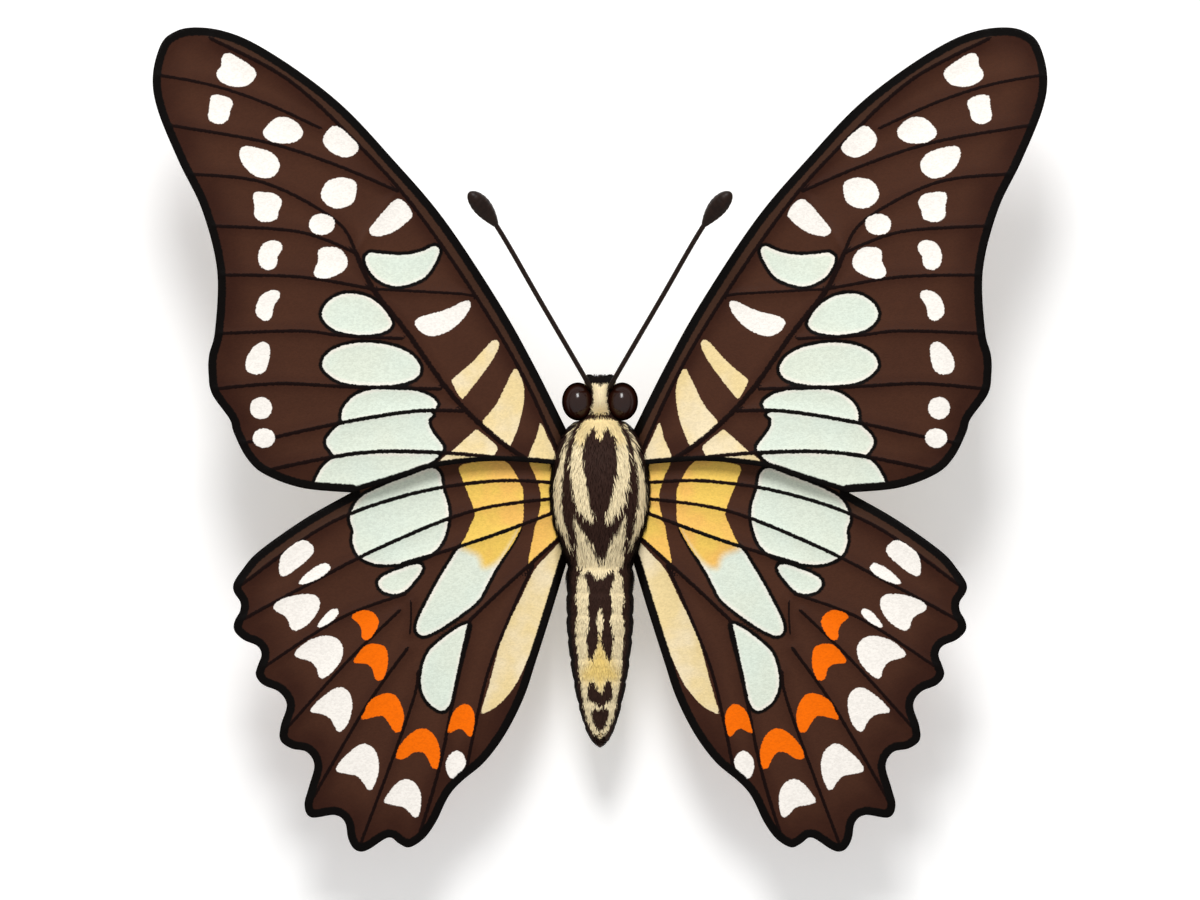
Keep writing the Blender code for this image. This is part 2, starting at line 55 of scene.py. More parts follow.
# %% [markdown]
# ## From the picture to the model
# The picture looks straight down, so a pixel of it is a place on the plan. The wings' solids say
# how far the tips are apart, and the same span in the picture is 892.6 pixels, which gives the size
# of a pixel. Shapes are read on the picture's left half and used for both sides, because the left
# and right wings are mirror images. Each outline is a smooth curve through a few points.

# %% Pixels, curves and distances
SPAN_IN_PIXELS = 892.6
MIDLINE_PIXEL, CENTRE_PIXEL = 600, 439.5
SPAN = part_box("forewing_right")[1][0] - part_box("forewing_left")[0][0]
PIXEL = SPAN / SPAN_IN_PIXELS
SIDES = {"left": -1, "right": 1}


def plan(points):
    """Places on the right side of the body, in metres, of pixels on the picture's left side."""
    points = np.array(points, float)
    return np.stack([MIDLINE_PIXEL - points[:, 0], CENTRE_PIXEL - points[:, 1]], 1) * PIXEL


def curve(points, step, closed=False):
    """A Catmull-Rom curve through points of any dimension, with a point every step or so."""
    points = np.asarray(points, float)
    padded = [points[-1:], points, points[:2]] if closed else [points[:1], points, points[-1:]]
    padded = np.vstack(padded)
    pieces = []
    for a, b, c, d in zip(padded, padded[1:], padded[2:], padded[3:]):
        parts = max(1, round(np.linalg.norm(c - b) / step))
        t = (np.arange(parts) / parts)[:, None]
        bend = (c - a) * t + (2 * a - 5 * b + 4 * c - d) * t ** 2 + (3 * b - a - 3 * c + d) * t ** 3
        pieces.append(b + bend / 2)
    if not closed:
        pieces.append(points[-1:])
    return np.vstack(pieces)


def nearest(places, line):
    """Each place's distance to a line of points, the nearest point on it, and the side it is on."""
    best = np.full(len(places), np.inf)
    touch = np.zeros((len(places), 2))
    side = np.zeros(len(places))
    for start, along in zip(line[:-1], np.diff(line, axis=0)):
        share = np.clip((places - start) @ along / max(along @ along, 1e-18), 0, 1)
        foot = start + share[:, None] * along
        apart = places - foot
        far = np.hypot(*apart.T)
        closer = far < best
        best[closer] = far[closer]
        touch[closer] = foot[closer]
        side[closer] = np.sign(along[0] * apart[closer, 1] - along[1] * apart[closer, 0])
    return best, touch, side


def within(places, loop):
    """Which places lie inside a closed loop."""
    odd = np.zeros(len(places), bool)
    for a, b in zip(loop, np.roll(loop, -1, axis=0)):
        spans = (a[1] > places[:, 1]) != (b[1] > places[:, 1])
        if a[1] != b[1]:
            reach = a[0] + (b[0] - a[0]) * (places[:, 1] - a[1]) / (b[1] - a[1])
            odd ^= spans & (places[:, 0] < reach)
    return odd


def depth(places, loops):
    """How far inside the nearest of some loops each place is, in millimetres, negative outside."""
    deep = np.full(len(places), -9.0)
    for loop in loops:
        ring = curve(plan(loop), 4 * PIXEL, closed=True)
        margin = 2.5 * MM
        near = np.all((places > ring.min(0) - margin) & (places < ring.max(0) + margin), axis=1)
        if near.any():
            some = places[near]
            far = nearest(some, np.vstack([ring, ring[:1]]))[0] / MM
            signed = np.where(within(some, ring), far, -far)
            deep[near] = np.maximum(deep[near], signed)
    return deep


print("one pixel of the picture is", round(PIXEL / MM, 5), "mm")

# %% [markdown]
# ## The wings' outlines and veins
# The forewing is one sweep from its root round the apex to the rear corner. The hindwing's edge
# has scallops: each vein ends in a small tooth. Its front edge is hidden under the forewing. Veins
# are the stiff tubes that carry the membrane, and each has a name and its own thickness.

# %% Outlines
FOREWING_EDGE = [
    (577, 451), (566, 429), (534, 365), (498, 301), (443, 218), (390, 156), (345, 108), (300, 72),
    (254, 43), (222, 30.5), (194, 27.3), (175, 31.5), (161, 44), (152.7, 76), (157.6, 110), (179, 162),
    (202, 210), (217, 270), (215, 330), (209, 355), (208.5, 374), (212, 394), (229.5, 419),
    (233.5, 432), (246, 457), (264, 474), (302, 488), (352, 492.7),
]
FOREWING_REAR = [(352, 492.7), (401, 477.6), (436, 467), (496, 461), (560, 465)]
FOREWING_ROOT = [(560, 465), (570, 459), (577, 451)]
HINDWING_FRONT = [(560, 446), (500, 440), (440, 446), (390, 464), (352, 492)]
HINDWING_EDGE = [
    (352, 492), (305, 518.5), (259, 551), (242, 570), (233.5, 583.5), (234.2, 592.5), (240.3, 602),
    (240, 611), (234.6, 621), (234.2, 630.5), (243.2, 639.7), (257.3, 646), (261.5, 654.6),
    (257.8, 665.4), (255.7, 675.3), (263.1, 684.9), (278.9, 691.9), (286.8, 705), (280.8, 725.4),
    (280.2, 740), (291.1, 748.5), (306.8, 752.1), (314.3, 765.4), (308.7, 787.2), (304.4, 805.4),
    (311.1, 817.5), (334.7, 815.1), (345, 822.4), (348, 838.1), (353.5, 848.5), (361.2, 851.8),
    (370, 848.8), (388.6, 837.5), (398.9, 843.6), (409.2, 847.5), (424, 838.5), (436, 822), (445, 803),
    (452, 791.5), (463, 780.2), (485, 761.5), (506, 733), (524, 697), (536, 661), (551, 614),
    (563.5, 573), (568.5, 557), (574, 538),
]
HINDWING_ROOT = [(574, 538), (568, 500), (560, 446)]

# %% Veins, each with the half width of its dark line in pixels
FOREWING_VEINS = {
    "radial": (1.9, [(560, 456), (522.6, 375), (475, 295), (413, 206), (361, 147.5), (290, 81),
                     (211, 38.6)]),
    "outer_radial": (1.6, [(320, 128), (265, 103), (211, 85), (158, 75)]),
    "radial_sector": (1.7, [(397, 191), (336, 165), (265, 142), (172, 125.7)]),
    "cell_end": (0, [(397, 191), (374, 223), (356, 253)]),
    "first_median": (1.7, [(356, 253), (336, 220.7), (265, 183), (191, 174)]),
    "second_median": (1.7, [(356, 253), (300, 232), (215, 226)]),
    "third_median": (1.7, [(373, 289), (300, 277), (222, 275)]),
    "cell_bar": (1.4, [(373, 289), (463, 294), (476, 297)]),
    "cubital": (2.6, [(534, 464), (496, 438), (452, 395), (406, 331), (373, 289), (356, 253)]),
    "first_cubital": (1.7, [(402, 338.6), (343, 335.7), (300, 331), (217, 333.6)]),
    "second_cubital": (1.8, [(440, 389), (352, 387), (280, 383.6), (214, 389)]),
    "first_anal": (1.9, [(464, 411), (414, 411.3), (343, 422.5), (276, 437)]),
    "first_anal_end": (1.6, [(252, 441.5), (240, 443.5)]),
    "second_anal": (2.0, [(520, 460), (441, 452.7), (360, 453), (268, 470)]),
}
HINDWING_VEINS = {
    "subcostal": (1.8, [(558, 483), (495, 481), (414, 493.3), (328, 524.3), (241, 585)]),
    "radial": (1.8, [(558, 498), (474, 510.5), (385.7, 545), (305, 586), (242, 620)]),
    "upper_cell": (1.8, [(558, 511), (495, 534.6), (442, 552), (403, 563.3)]),
    "cell_end": (1.0, [(411, 602), (411, 618), (410, 633)]),
    "first_median": (1.6, [(405, 594), (340, 618.4), (264, 667)]),
    "second_median": (1.6, [(399, 611), (349, 659.7), (286, 729)]),
    "third_median": (1.7, [(407, 649), (366, 706.8), (310, 803)]),
    "first_cubital": (1.6, [(418, 672), (415, 694), (395.6, 750.5), (359, 848)]),
    "lower_cell": (1.9, [(566, 532), (556, 541), (506, 586), (470, 620)]),
    "second_cubital": (1.8, [(470, 620), (457, 680), (439, 769), (417, 842)]),
    "anal": (1.7, [(533, 566), (517, 600), (490, 666), (476, 722), (466, 772)]),
}

# %% [markdown]
# ## The wings' markings
# The pattern is patches of differently coloured scales. Each patch is a closed curve through a few
# points, and it is stored on the wing as a distance: how deep inside the patch every vertex is. A
# material can then cut the edge of a patch as sharp, soft or ragged as it likes, which a painted
# colour per vertex couldn't give.

# %% The forewing's spots
FOREWING_MARKS = {
    "white": [
        [(227.8, 52.8), (237.2, 57), (249.8, 65.3), (256, 71.6), (255, 78), (247.7, 85), (235, 86.7),
         (222.6, 83), (216.3, 76), (217, 71), (221, 66), (222, 57)],
        [(211, 96), (215.5, 94.6), (224.7, 96), (232, 100), (233, 104), (230, 111.4), (229, 117.6),
         (224.7, 122.5), (218.4, 124), (211, 121.8), (208, 116.6), (209, 110.3), (209.8, 104)],
        [(263, 132), (276, 118), (292, 119), (303, 131), (297, 141), (283, 143.4), (270, 141)],
        [(337, 126), (351, 137), (359, 148), (352.5, 155.5), (342, 157), (327.5, 149), (323, 139),
         (329, 129)],
        [(240.4, 149), (245.6, 146), (258, 148), (270.7, 152.2), (278, 159.5), (279.7, 167), (275, 175),
         (266.5, 178.3), (256, 176.2), (245.6, 168), (239.7, 157.4)],
        [(342, 177.5), (355, 181.4), (356.6, 190), (352.5, 203), (338, 208.6), (326, 204), (321, 194),
         (327.5, 181.4)],
        [(256, 192), (275, 194), (282, 202), (278.4, 211), (276.6, 219), (264, 222), (255, 217),
         (254.5, 205), (253, 197.5)],
        [(321.8, 213.6), (333, 218), (334.7, 225), (331, 232), (321.8, 235), (312, 232), (308.9, 224),
         (312, 217)],
        [(273, 240), (281, 243), (282, 250), (277.5, 256.5), (277, 265), (269.5, 270), (261, 267),
         (258, 256), (263, 244)],
        [(327.5, 247), (340, 249), (347.5, 260), (344.5, 270), (329, 278), (316, 277), (314, 271),
         (318, 261), (318.6, 250)],
        [(397, 199), (412, 212), (409, 220), (393, 232), (376, 236.4), (369, 231.5), (374, 223)],
        [(414.6, 323.6), (420, 317), (445, 310), (464.6, 301), (471, 303), (466, 315), (452, 329),
         (434, 336), (422, 333)],
        [(273, 290), (280, 292.5), (279.5, 298), (274, 305), (272, 316), (266, 321), (257, 316),
         (256, 307), (261.6, 295)],
        [(263, 341.6), (269.6, 346), (269, 360), (265, 371), (256, 374.6), (247, 371), (246, 360),
         (253.6, 347)],
        [(261, 397), (269, 400), (272, 408), (269, 416), (261, 419.3), (253, 416), (250, 408),
         (253, 400)],
        [(263.8, 428.4), (272, 431), (275, 438), (272, 445), (263.8, 448), (256, 445), (252.5, 438),
         (256, 431)],
    ],
    "green": [
        [(365.5, 256), (370, 252.7), (399, 255), (420, 252), (434, 246), (439.6, 250.4), (434, 264.6),
         (422, 279), (397, 286.4), (377, 279), (367, 266)],
        [(321.6, 314), (326, 304), (337, 296), (351, 293.4), (368, 297), (382, 307), (391, 320),
         (391, 327), (382, 332.5), (361, 335), (336, 330.5), (325, 322)],
        [(322, 365), (327, 354), (343, 345.5), (368, 342.5), (396, 347), (413, 356), (420.5, 367.5),
         (416, 378), (398, 384), (371, 385.5), (343, 382.5), (328, 374)],
        [(341.5, 420), (342.5, 410), (350, 399.5), (364, 391.5), (387.5, 387.8), (414, 390.5),
         (431, 396.5), (437.5, 404), (435, 409), (432, 411.5), (396, 413.9), (361, 419.3),
         (342, 423.5)],
        [(325.9, 442.5), (329, 435), (338, 426), (343, 422.5), (378, 416), (431, 412), (428.6, 419),
         (429.5, 427), (436, 437), (443, 446), (443, 451), (441, 453), (400, 452), (341, 455.5),
         (330, 450)],
        [(334, 456.5), (338, 455), (378.6, 453), (436, 453.5), (439, 455.5), (428, 464), (400, 477),
         (377, 488), (346, 490), (317, 487), (314.5, 483), (322, 468)],
    ],
    "tan": [
        [(451.5, 381), (452.5, 379), (473, 361.5), (491, 341.6), (496, 339), (499.4, 343),
         (494.4, 356.5), (479.5, 378), (463, 398.5), (461, 399)],
        [(514, 369), (517, 369), (523.4, 384.7), (523.8, 401), (519, 424.5), (510, 446), (507, 446.5),
         (484, 425), (482, 422), (496, 404.6), (506, 384.7)],
        [(540, 423), (541.5, 423), (547, 436), (553.5, 450), (555, 462), (528, 462), (527.5, 460),
         (530, 452), (536, 438)],
        [(476, 429.5), (477.5, 429.8), (497, 446), (496, 452), (493, 458), (491, 458.5), (451, 453),
         (452, 451)],
        [(446, 455), (449, 454.5), (488, 459), (489, 460), (438, 466), (437, 464)],
    ],
    "strip": [
        [(566, 420), (534, 355), (498, 290), (443, 208), (390, 146), (345, 98), (300, 62), (254, 33),
         (205, 33), (211, 38.6), (240, 51), (290, 81), (361, 147.5), (413, 206), (475, 295),
         (522.6, 375), (560, 456)],
    ],
}

# %% The hindwing's patches
HINDWING_MARKS = {
    "green": [
        [(359, 499), (350, 517.4), (353.6, 531), (352.4, 540.4), (358, 555), (376.5, 564), (405, 562.7),
         (429, 555), (442, 542), (448, 522), (448, 506), (443, 490), (440, 474), (432, 468), (414, 474),
         (380, 487)],
        [(460.4, 547), (449, 563), (437, 583), (426, 603.5), (418, 620), (416.5, 631), (422.5, 636),
         (434, 632), (449, 623), (469.5, 608), (480, 598), (487, 585), (495, 570), (511, 544),
         (518, 531), (519, 526), (513, 526), (482, 536)],
        [(378, 584), (382, 577), (397, 570), (414, 564.5), (421.5, 565.5), (421, 572), (411, 585),
         (403, 592), (394, 594), (383, 591)],
        [(469, 625), (467, 623.5), (455, 629.5), (441, 640), (430, 650), (424, 662), (421, 678),
         (422, 690), (427, 701), (435, 708), (442, 711), (448, 707), (452, 698), (456, 680), (461, 659),
         (466.5, 638)],
    ],
    "yellow": [
        [(460, 466), (483, 461), (502, 460), (512, 468), (519, 480.7), (523, 490), (523.5, 506),
         (523, 520), (519, 532), (509, 549), (497, 563), (483, 568), (478, 556), (462, 549), (461, 545),
         (466, 536), (471, 524), (475, 515), (472, 504), (467, 491), (462, 478)],
        [(530, 461), (550, 464), (552, 483), (552, 499), (550, 511), (538, 519), (540, 509), (541, 498),
         (539.6, 488.7), (535, 475)],
        [(537, 522), (552, 515), (557, 529), (559, 538), (557, 540), (541, 555), (529, 565), (530, 552),
         (533, 538)],
    ],
    "tan": [
        [(562, 541), (572, 543), (568, 562), (560, 585), (552, 603), (542, 625), (534, 645),
         (525.5, 664), (517, 682), (507, 696), (497, 706), (487, 712), (481, 713), (484, 702),
         (489, 685), (500, 644), (508, 623.5), (520, 600), (534, 571), (547, 556)],
    ],
    "white": [
        [(302, 540), (311, 544), (314, 549.5), (311, 556), (300, 566), (287, 575), (281, 576),
         (279, 570), (280, 560), (285, 551)],
        [(327, 563), (331, 567), (326, 573.6), (314.5, 580.5), (301, 584.6), (298.5, 583), (305, 575),
         (317, 566)],
        [(273, 608), (277, 602), (289, 596.6), (305, 594), (316, 595.5), (320, 602), (317, 613),
         (308, 624), (295, 631), (290, 628), (289, 622), (285, 616), (279, 613)],
        [(338, 609), (339, 613), (332, 621), (320, 627.6), (317, 626.5), (322.6, 618), (330.6, 610)],
        [(294, 654), (301, 646), (312, 639), (327, 635.6), (337.5, 639), (343, 648), (341, 660),
         (333, 671), (322.6, 679), (318.6, 677), (317, 669), (310, 661), (298.5, 658)],
        [(310, 712), (314.5, 704.5), (325, 695), (337.5, 687.5), (345.5, 689), (351, 696), (352, 709),
         (347, 725), (339, 732), (335, 727), (330.6, 719), (322.6, 714)],
        [(336, 771), (339, 763), (348.5, 753), (361, 744), (369, 745), (376, 752), (379, 764),
         (377, 778), (371.5, 790), (368, 790), (363.5, 783), (357, 776), (347, 774)],
        [(384, 802), (388, 794), (396, 784), (405, 779), (414, 782), (420, 791), (421, 803),
         (418.6, 816), (415, 818), (410.5, 813.6), (403.6, 807), (396, 805.6)],
        [(445.8, 764), (449, 755.5), (456, 750.7), (462.5, 753.5), (466, 762), (462.5, 770.5),
         (453, 779), (447.5, 774)],
    ],
    "orange": [
        [(350.7, 617), (357, 612), (367, 610), (375, 614), (379, 622), (375, 632), (368.5, 639.6),
         (362, 639), (361.6, 630), (358, 623)],
        [(353.6, 662.6), (357, 655), (365, 646), (375, 643.6), (385, 647), (388, 656), (387, 669),
         (382, 680), (375, 679), (373, 670), (367, 664)],
        [(361, 720), (364, 712.5), (371, 700), (386, 693), (396, 696), (402, 707), (404, 718),
         (400, 732), (395, 732.6), (389, 723.5), (383, 716), (373, 717)],
        [(396, 758.5), (398, 749), (405, 739), (416, 730), (426.6, 729), (434.6, 736), (439, 746),
         (440, 756), (437, 769), (432, 768), (428, 758.5), (422, 752), (413, 753), (405, 758.5)],
        [(448, 733), (450, 722), (454, 711), (463, 704), (470, 706), (474.5, 715), (474, 726.5),
         (471, 737), (468, 736), (463, 729.6), (459, 728.6)],
    ],
    "strip": [
        [(352, 485), (305, 510), (259, 543), (232, 575), (241, 585), (270, 560), (328, 524.3),
         (390, 501), (392, 476)],
    ],
}
MARK_NAMES = ("white", "green", "tan", "yellow", "orange", "strip")
print("patches:", {name: len(FOREWING_MARKS.get(name, [])) + len(HINDWING_MARKS.get(name, []))
                   for name in MARK_NAMES})

# %% [markdown]
# ## How high the wings lie
# The butterfly basks with its wings open. Each wing rises about six degrees towards its tip and is
# gently arched, as the solids say. The forewing covers the hindwing's front edge, and the skins lie
# a little closer together than the solids, because a real membrane is as thin as paper.

# %% Height of the middle of each wing
ROOT_X = 3.4 * MM
ROOT_HEIGHT = 8.75 * MM
RISE = math.tan(math.radians(6))
TIP_LIFT, REACH = 0.7 * MM, 31.6 * MM
ARCH, WING_DEPTH = 0.8 * MM, 19 * MM
HINDWING_BELOW, HINDWING_ARCH, HINDWING_DROOP = 0.75 * MM, 0.6 * MM, 1.6 * MM
HINDWING_FRONT_Y, HINDWING_LENGTH = -2.5 * MM, 30 * MM
DIP, DIP_FROM, DIP_WIDTH = 1.0 * MM, 3.6 * MM, 1.2 * MM
SKIN_LOWER = 0.15 * MM


def root_dip(x):
    """How far a wing's root bends down into the thorax's flank."""
    share = np.clip((DIP_FROM - x) / DIP_WIDTH, 0, 1)
    return DIP * share ** 2 * (3 - 2 * share)


def forewing_height(x, y):
    """Height of the forewing's middle over a place on the right side."""
    out = np.maximum(x - ROOT_X, 0)
    front, apex = plan([FOREWING_EDGE[1], FOREWING_EDGE[10]])
    along = (apex - front) / np.linalg.norm(apex - front)
    behind = (x - front[0]) * along[1] - (y - front[1]) * along[0]
    arch = ARCH * np.sin(np.pi * np.clip(behind / WING_DEPTH, 0, 1)) * np.minimum(out / WING_DEPTH, 1)
    return ROOT_HEIGHT + out * RISE + TIP_LIFT * (out / REACH) ** 2 + arch - SKIN_LOWER - root_dip(x)


def hindwing_height(x, y):
    """Height of the hindwing's middle, just below the forewing where they overlap."""
    out = np.maximum(x - ROOT_X, 0)
    share = np.clip((HINDWING_FRONT_Y - y) / HINDWING_LENGTH, 0, 1)
    arch = HINDWING_ARCH * np.sin(np.pi * share) - HINDWING_DROOP * share
    return ROOT_HEIGHT - HINDWING_BELOW + out * RISE + arch - SKIN_LOWER - root_dip(x)


# %% [markdown]
# ## A wing as one thin closed skin
# A fine grid covers the wing's box. Its faces outside the outline are deleted, and the rim that is
# left is drawn onto the outline and smoothed a few times, so that the edge is clean. Extruding the
# sheet gives it an underside. Then the height, the veins' ridges and the soft hollows between the
# veins are added, and the distances to every patch, vein and edge are stored as attributes.

# %% Building the net
CELL = 0.17 * MM
SKIN_THICKNESS = 0.12 * MM
RIM_SHARE = 0.45
VEIN_RIDGE, RIDGE_BELOW = 0.1 * MM, 0.8
RIDGE_WIDTH, RIDGE_TAPER = 0.34, 0.16
HOLLOW, HOLLOW_WIDTH, HOLLOW_FROM_EDGE = 0.1 * MM, 0.9, 1.2


def draw_onto(rim, loop):
    """Move the vertices of a rim to the nearest places on a loop."""
    for vert, place in zip(rim, nearest(np.array([vert.co[:2] for vert in rim]), loop)[1]):
        vert.co.xy = place


def net(outline):
    """A flat net of square cells that fills the outline, with its rim on the outline itself."""
    low, high = outline.min(0), outline.max(0)
    size = high - low
    mesh = bmesh.new()
    counts = [int(round(length / CELL)) for length in size]
    bmesh.ops.create_grid(mesh, x_segments=counts[0], y_segments=counts[1], size=0.5)
    bmesh.ops.scale(mesh, vec=(size[0], size[1], 1), verts=mesh.verts)
    bmesh.ops.translate(mesh, vec=(*(low + high) / 2, 0), verts=mesh.verts)
    middles = np.array([face.calc_center_median()[:2] for face in mesh.faces])
    outside = ~within(middles, outline)
    gone = [face for face, out in zip(mesh.faces, outside) if out]
    bmesh.ops.delete(mesh, geom=gone, context="FACES")
    rim = [vert for vert in mesh.verts if vert.is_boundary]
    band = set(rim)
    for _ in range(3):
        band |= {edge.other_vert(vert) for vert in list(band) for edge in vert.link_edges}
    loop = np.vstack([outline, outline[:1]])
    draw_onto(rim, loop)
    for _ in range(4):
        bmesh.ops.smooth_vert(mesh, verts=list(band), factor=0.5, use_axis_x=True, use_axis_y=True)
        draw_onto(rim, loop)
    return mesh


def vein_fields(places, veins):
    """In mm, the distance to any vein and past a dark one's line; and half widths to its side."""
    any_vein, past_line, sideways = (np.full(len(places), 9.0) for _ in range(3))
    for half_width, points in veins.values():
        far, _, side = nearest(places, curve(plan(points), 6 * PIXEL))
        far, half_width = far / MM, half_width * PIXEL / MM
        any_vein = np.minimum(any_vein, far)
        if half_width:
            closer = far - half_width < past_line
            past_line[closer] = far[closer] - half_width
            sideways[closer] = (far * side)[closer] / half_width
    return any_vein, past_line, sideways


def store(data, name, values):
    """Keep one number for each vertex under a name."""
    data.attributes.new(name, "FLOAT", "POINT").data.foreach_set("value", values.astype(np.float32))


def wing(name, outline, edges, veins, marks, height):
    """The right wing's skin, with its relief and the fields that its colours are cut from."""
    mesh = net(outline)
    made = bmesh.ops.extrude_face_region(mesh, geom=list(mesh.faces))["geom"]
    lifted = [item for item in made if isinstance(item, bmesh.types.BMVert)]
    bmesh.ops.translate(mesh, vec=(0, 0, 1), verts=lifted)
    bmesh.ops.recalc_face_normals(mesh, faces=mesh.faces)
    data = bpy.data.meshes.new(name)
    mesh.to_mesh(data)
    mesh.free()
    count = len(data.vertices)
    places = np.empty(count * 3)
    data.vertices.foreach_get("co", places)
    places = places.reshape(-1, 3)
    upper = places[:, 2] > 0.5
    flat = places[:, :2]
    near_vein, past_line, sideways = vein_fields(flat, veins)
    from_root = np.clip(flat[:, 0] / REACH, 0, 1)
    edge_depth = np.min([nearest(flat, edge)[0] + thinner for edge, thinner in edges], axis=0) / MM
    ridge_width = RIDGE_WIDTH - RIDGE_TAPER * from_root
    ridge = VEIN_RIDGE * (1.25 - 0.75 * from_root) * np.exp(-(near_vein / ridge_width) ** 2)
    between = 1 - np.exp(-(near_vein / HOLLOW_WIDTH) ** 2)
    hollow = HOLLOW * between * np.clip(edge_depth / HOLLOW_FROM_EDGE, 0, 1)
    middle = height(flat[:, 0], flat[:, 1]) - hollow
    half = SKIN_THICKNESS / 2 * np.clip(RIM_SHARE + edge_depth, 0, 1)
    places[:, 2] = np.where(upper, middle + half + ridge, middle - half - ridge * RIDGE_BELOW)
    data.vertices.foreach_set("co", places.ravel())
    store(data, "vein", sideways)
    store(data, "past_line", past_line)
    store(data, "edge", edge_depth)
    store(data, "upper", upper.astype(float))
    for mark in MARK_NAMES:
        store(data, mark, depth(flat, marks.get(mark, [])))
    data.update()
    return data


def mirrored(data, name):
    """The other side's mesh, turned the right way out again."""
    mesh = bmesh.new()
    mesh.from_mesh(data)
    bmesh.ops.scale(mesh, vec=(-1, 1, 1), verts=mesh.verts)
    bmesh.ops.reverse_faces(mesh, faces=mesh.faces)
    copy = bpy.data.meshes.new(name)
    mesh.to_mesh(copy)
    mesh.free()
    return copy


def place_piece(name, data, material, slot, *nodes):
    """Show a finished mesh as a smooth piece; it stands for the named solids, if any."""
    data.shade_smooth()
    data.materials.append(material)
    piece = bpy.data.objects.new(name, data)
    bpy.context.scene.collection.objects.link(piece)
    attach(piece, "root")
    if nodes:
        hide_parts(*nodes)


def place_pair(name, right, material, slot, node):
    """Show a mesh on the right and its mirror image on the left."""
    for word, data in (("right", right), ("left", mirrored(right, f"{name}_left"))):
        place_piece(f"{name}_{word}", data, material, slot, f"{node}_{word}")


# %% [markdown]
# ## Colours
# The picture's colours are written as they look on a screen and turned into the linear values that
# Blender works in. Every material starts with a helper that puts a few nodes together.

# %% Colour values
def screen(code):
    """A screen colour, as six hexadecimal digits, in linear light."""
    parts = [int(code[k:k + 2], 16) / 255 for k in (0, 2, 4)]
    return tuple([p / 12.92 if p <= 0.04045 else ((p + 0.055) / 1.055) ** 2.4 for p in parts] + [1.0])


BROWN = screen("482A1D")
BROWN_EDGE = screen("351A11")
BROWN_CLOUD = screen("553322")
STRIP = screen("40281C")
BLACK = screen("050201")
VEIN_BROWN = screen("140402")
GREEN = screen("E4EBDA")
GREEN_RIM = screen("FBF3E6")
GREEN_CLOUD = screen("E0EEE2")
WHITE = screen("FFF9F1")
TAN = screen("F3DAA0")
YELLOW = screen("F3D060")
YELLOW_BASE = screen("F8C264")
ORANGE = screen("FF7200")
CREAM = screen("FFEBBE")
CREAM_YELLOW = screen("FFDC84")
FUR_DARK = screen("35211A")
FUR_PAINTED_SHADE = screen("0E0604")
UNDER_FUR = screen("CFC6A6")
UNDER_BROWN = screen("7A5A45")
UNDER_PALE = screen("D9DCC8")


# %% Small node helpers
class Nodes:
    """Adds nodes to a tree and joins them, left to right."""

    def __init__(self, tree):
        self.tree = tree

    def add(self, kind, **settings):
        node = self.tree.nodes.new(kind)
        for key, value in settings.items():
            setattr(node, key, value)
        return node

    def join(self, source, target):
        if isinstance(source, bpy.types.NodeSocket):
            self.tree.links.new(source, target)
        else:
            target.default_value = source

    def field(self, name):
        return self.add("ShaderNodeAttribute", attribute_name=name).outputs["Fac"]

    def math(self, operation, *values):
        node = self.add("ShaderNodeMath", operation=operation)
        for value, socket in zip(values, node.inputs):
            self.join(value, socket)
        return node.outputs[0]

    def plus(self, first, second):
        return self.math("ADD", first, second)

    def times(self, first, second):
        return self.math("MULTIPLY", first, second)

    def step(self, value, low, high, to_low=0.0, to_high=1.0):
        """A soft step of a value from one number to another."""
        node = self.add("ShaderNodeMapRange", interpolation_type="SMOOTHSTEP")
        for source, key in ((value, "Value"), (low, "From Min"), (high, "From Max"),
                            (to_low, "To Min"), (to_high, "To Max")):
            self.join(source, node.inputs[key])
        return node.outputs["Result"]

    def mix(self, share, first, second, blend="MIX"):
        node = self.add("ShaderNodeMix", data_type="RGBA", blend_type=blend)
        for value, place in ((share, 0), (first, 6), (second, 7)):
            self.join(value, node.inputs[place])
        return node.outputs[2]

    def noise(self, vector, scale, detail=2.0):
        node = self.add("ShaderNodeTexNoise")
        self.join(vector, node.inputs["Vector"])
        node.inputs["Scale"].default_value = scale
        node.inputs["Detail"].default_value = detail
        return node.outputs["Fac"]

    def place(self):
        """Where a point of the surface lies, in metres."""
        return self.add("ShaderNodeTexCoord").outputs["Object"]

    def paint(self, colour, shade, shader):
        """Give a shader its colour, made darker or brighter by a shade."""
        node = self.add("ShaderNodeHueSaturation")
        self.join(shade, node.inputs["Value"])
        self.join(colour, node.inputs["Color"])
        self.join(node.outputs["Color"], shader.inputs["Base Color"])

    def bump(self, height, strength, distance, shader, invert=False):
        """Give a shader fine relief."""
        node = self.add("ShaderNodeBump", invert=invert)
        node.inputs["Strength"].default_value = strength
        node.inputs["Distance"].default_value = distance
        self.join(height, node.inputs["Height"])
        self.join(node.outputs["Normal"], shader.inputs["Normal"])


def new_material(name):
    """An empty Principled material and its node helper."""
    material = bpy.data.materials.new(name)
    material.use_nodes = True
    nodes = Nodes(material.node_tree)
    return material, nodes, material.node_tree.nodes["Principled BSDF"]


# %% [markdown]
# ## Wing scales
# A butterfly's wing is tiled with scales about a tenth of a millimetre wide that overlap in rows,
# like shingles. Each carries one colour, so the edge of a patch is slightly ragged and no area is
# quite even. One node group makes that: a stretched cell pattern gives each scale its own random
# shade, shifts the patches' edges by up to half a scale, and raises the scales' free ends.

# %% The scale group
def group_tree(name, inputs, outputs):
    """A shader group with named number or vector inputs and outputs."""
    tree = bpy.data.node_groups.new(name, "ShaderNodeTree")
    for key, kind in inputs.items():
        tree.interface.new_socket(key, in_out="INPUT", socket_type=kind)
    for key, kind in outputs.items():
        tree.interface.new_socket(key, in_out="OUTPUT", socket_type=kind)
    nodes = Nodes(tree)
    return tree, nodes, nodes.add("NodeGroupInput"), nodes.add("NodeGroupOutput")


SCALE_LENGTH, SCALE_WIDTH = 0.16 * MM, 0.1 * MM


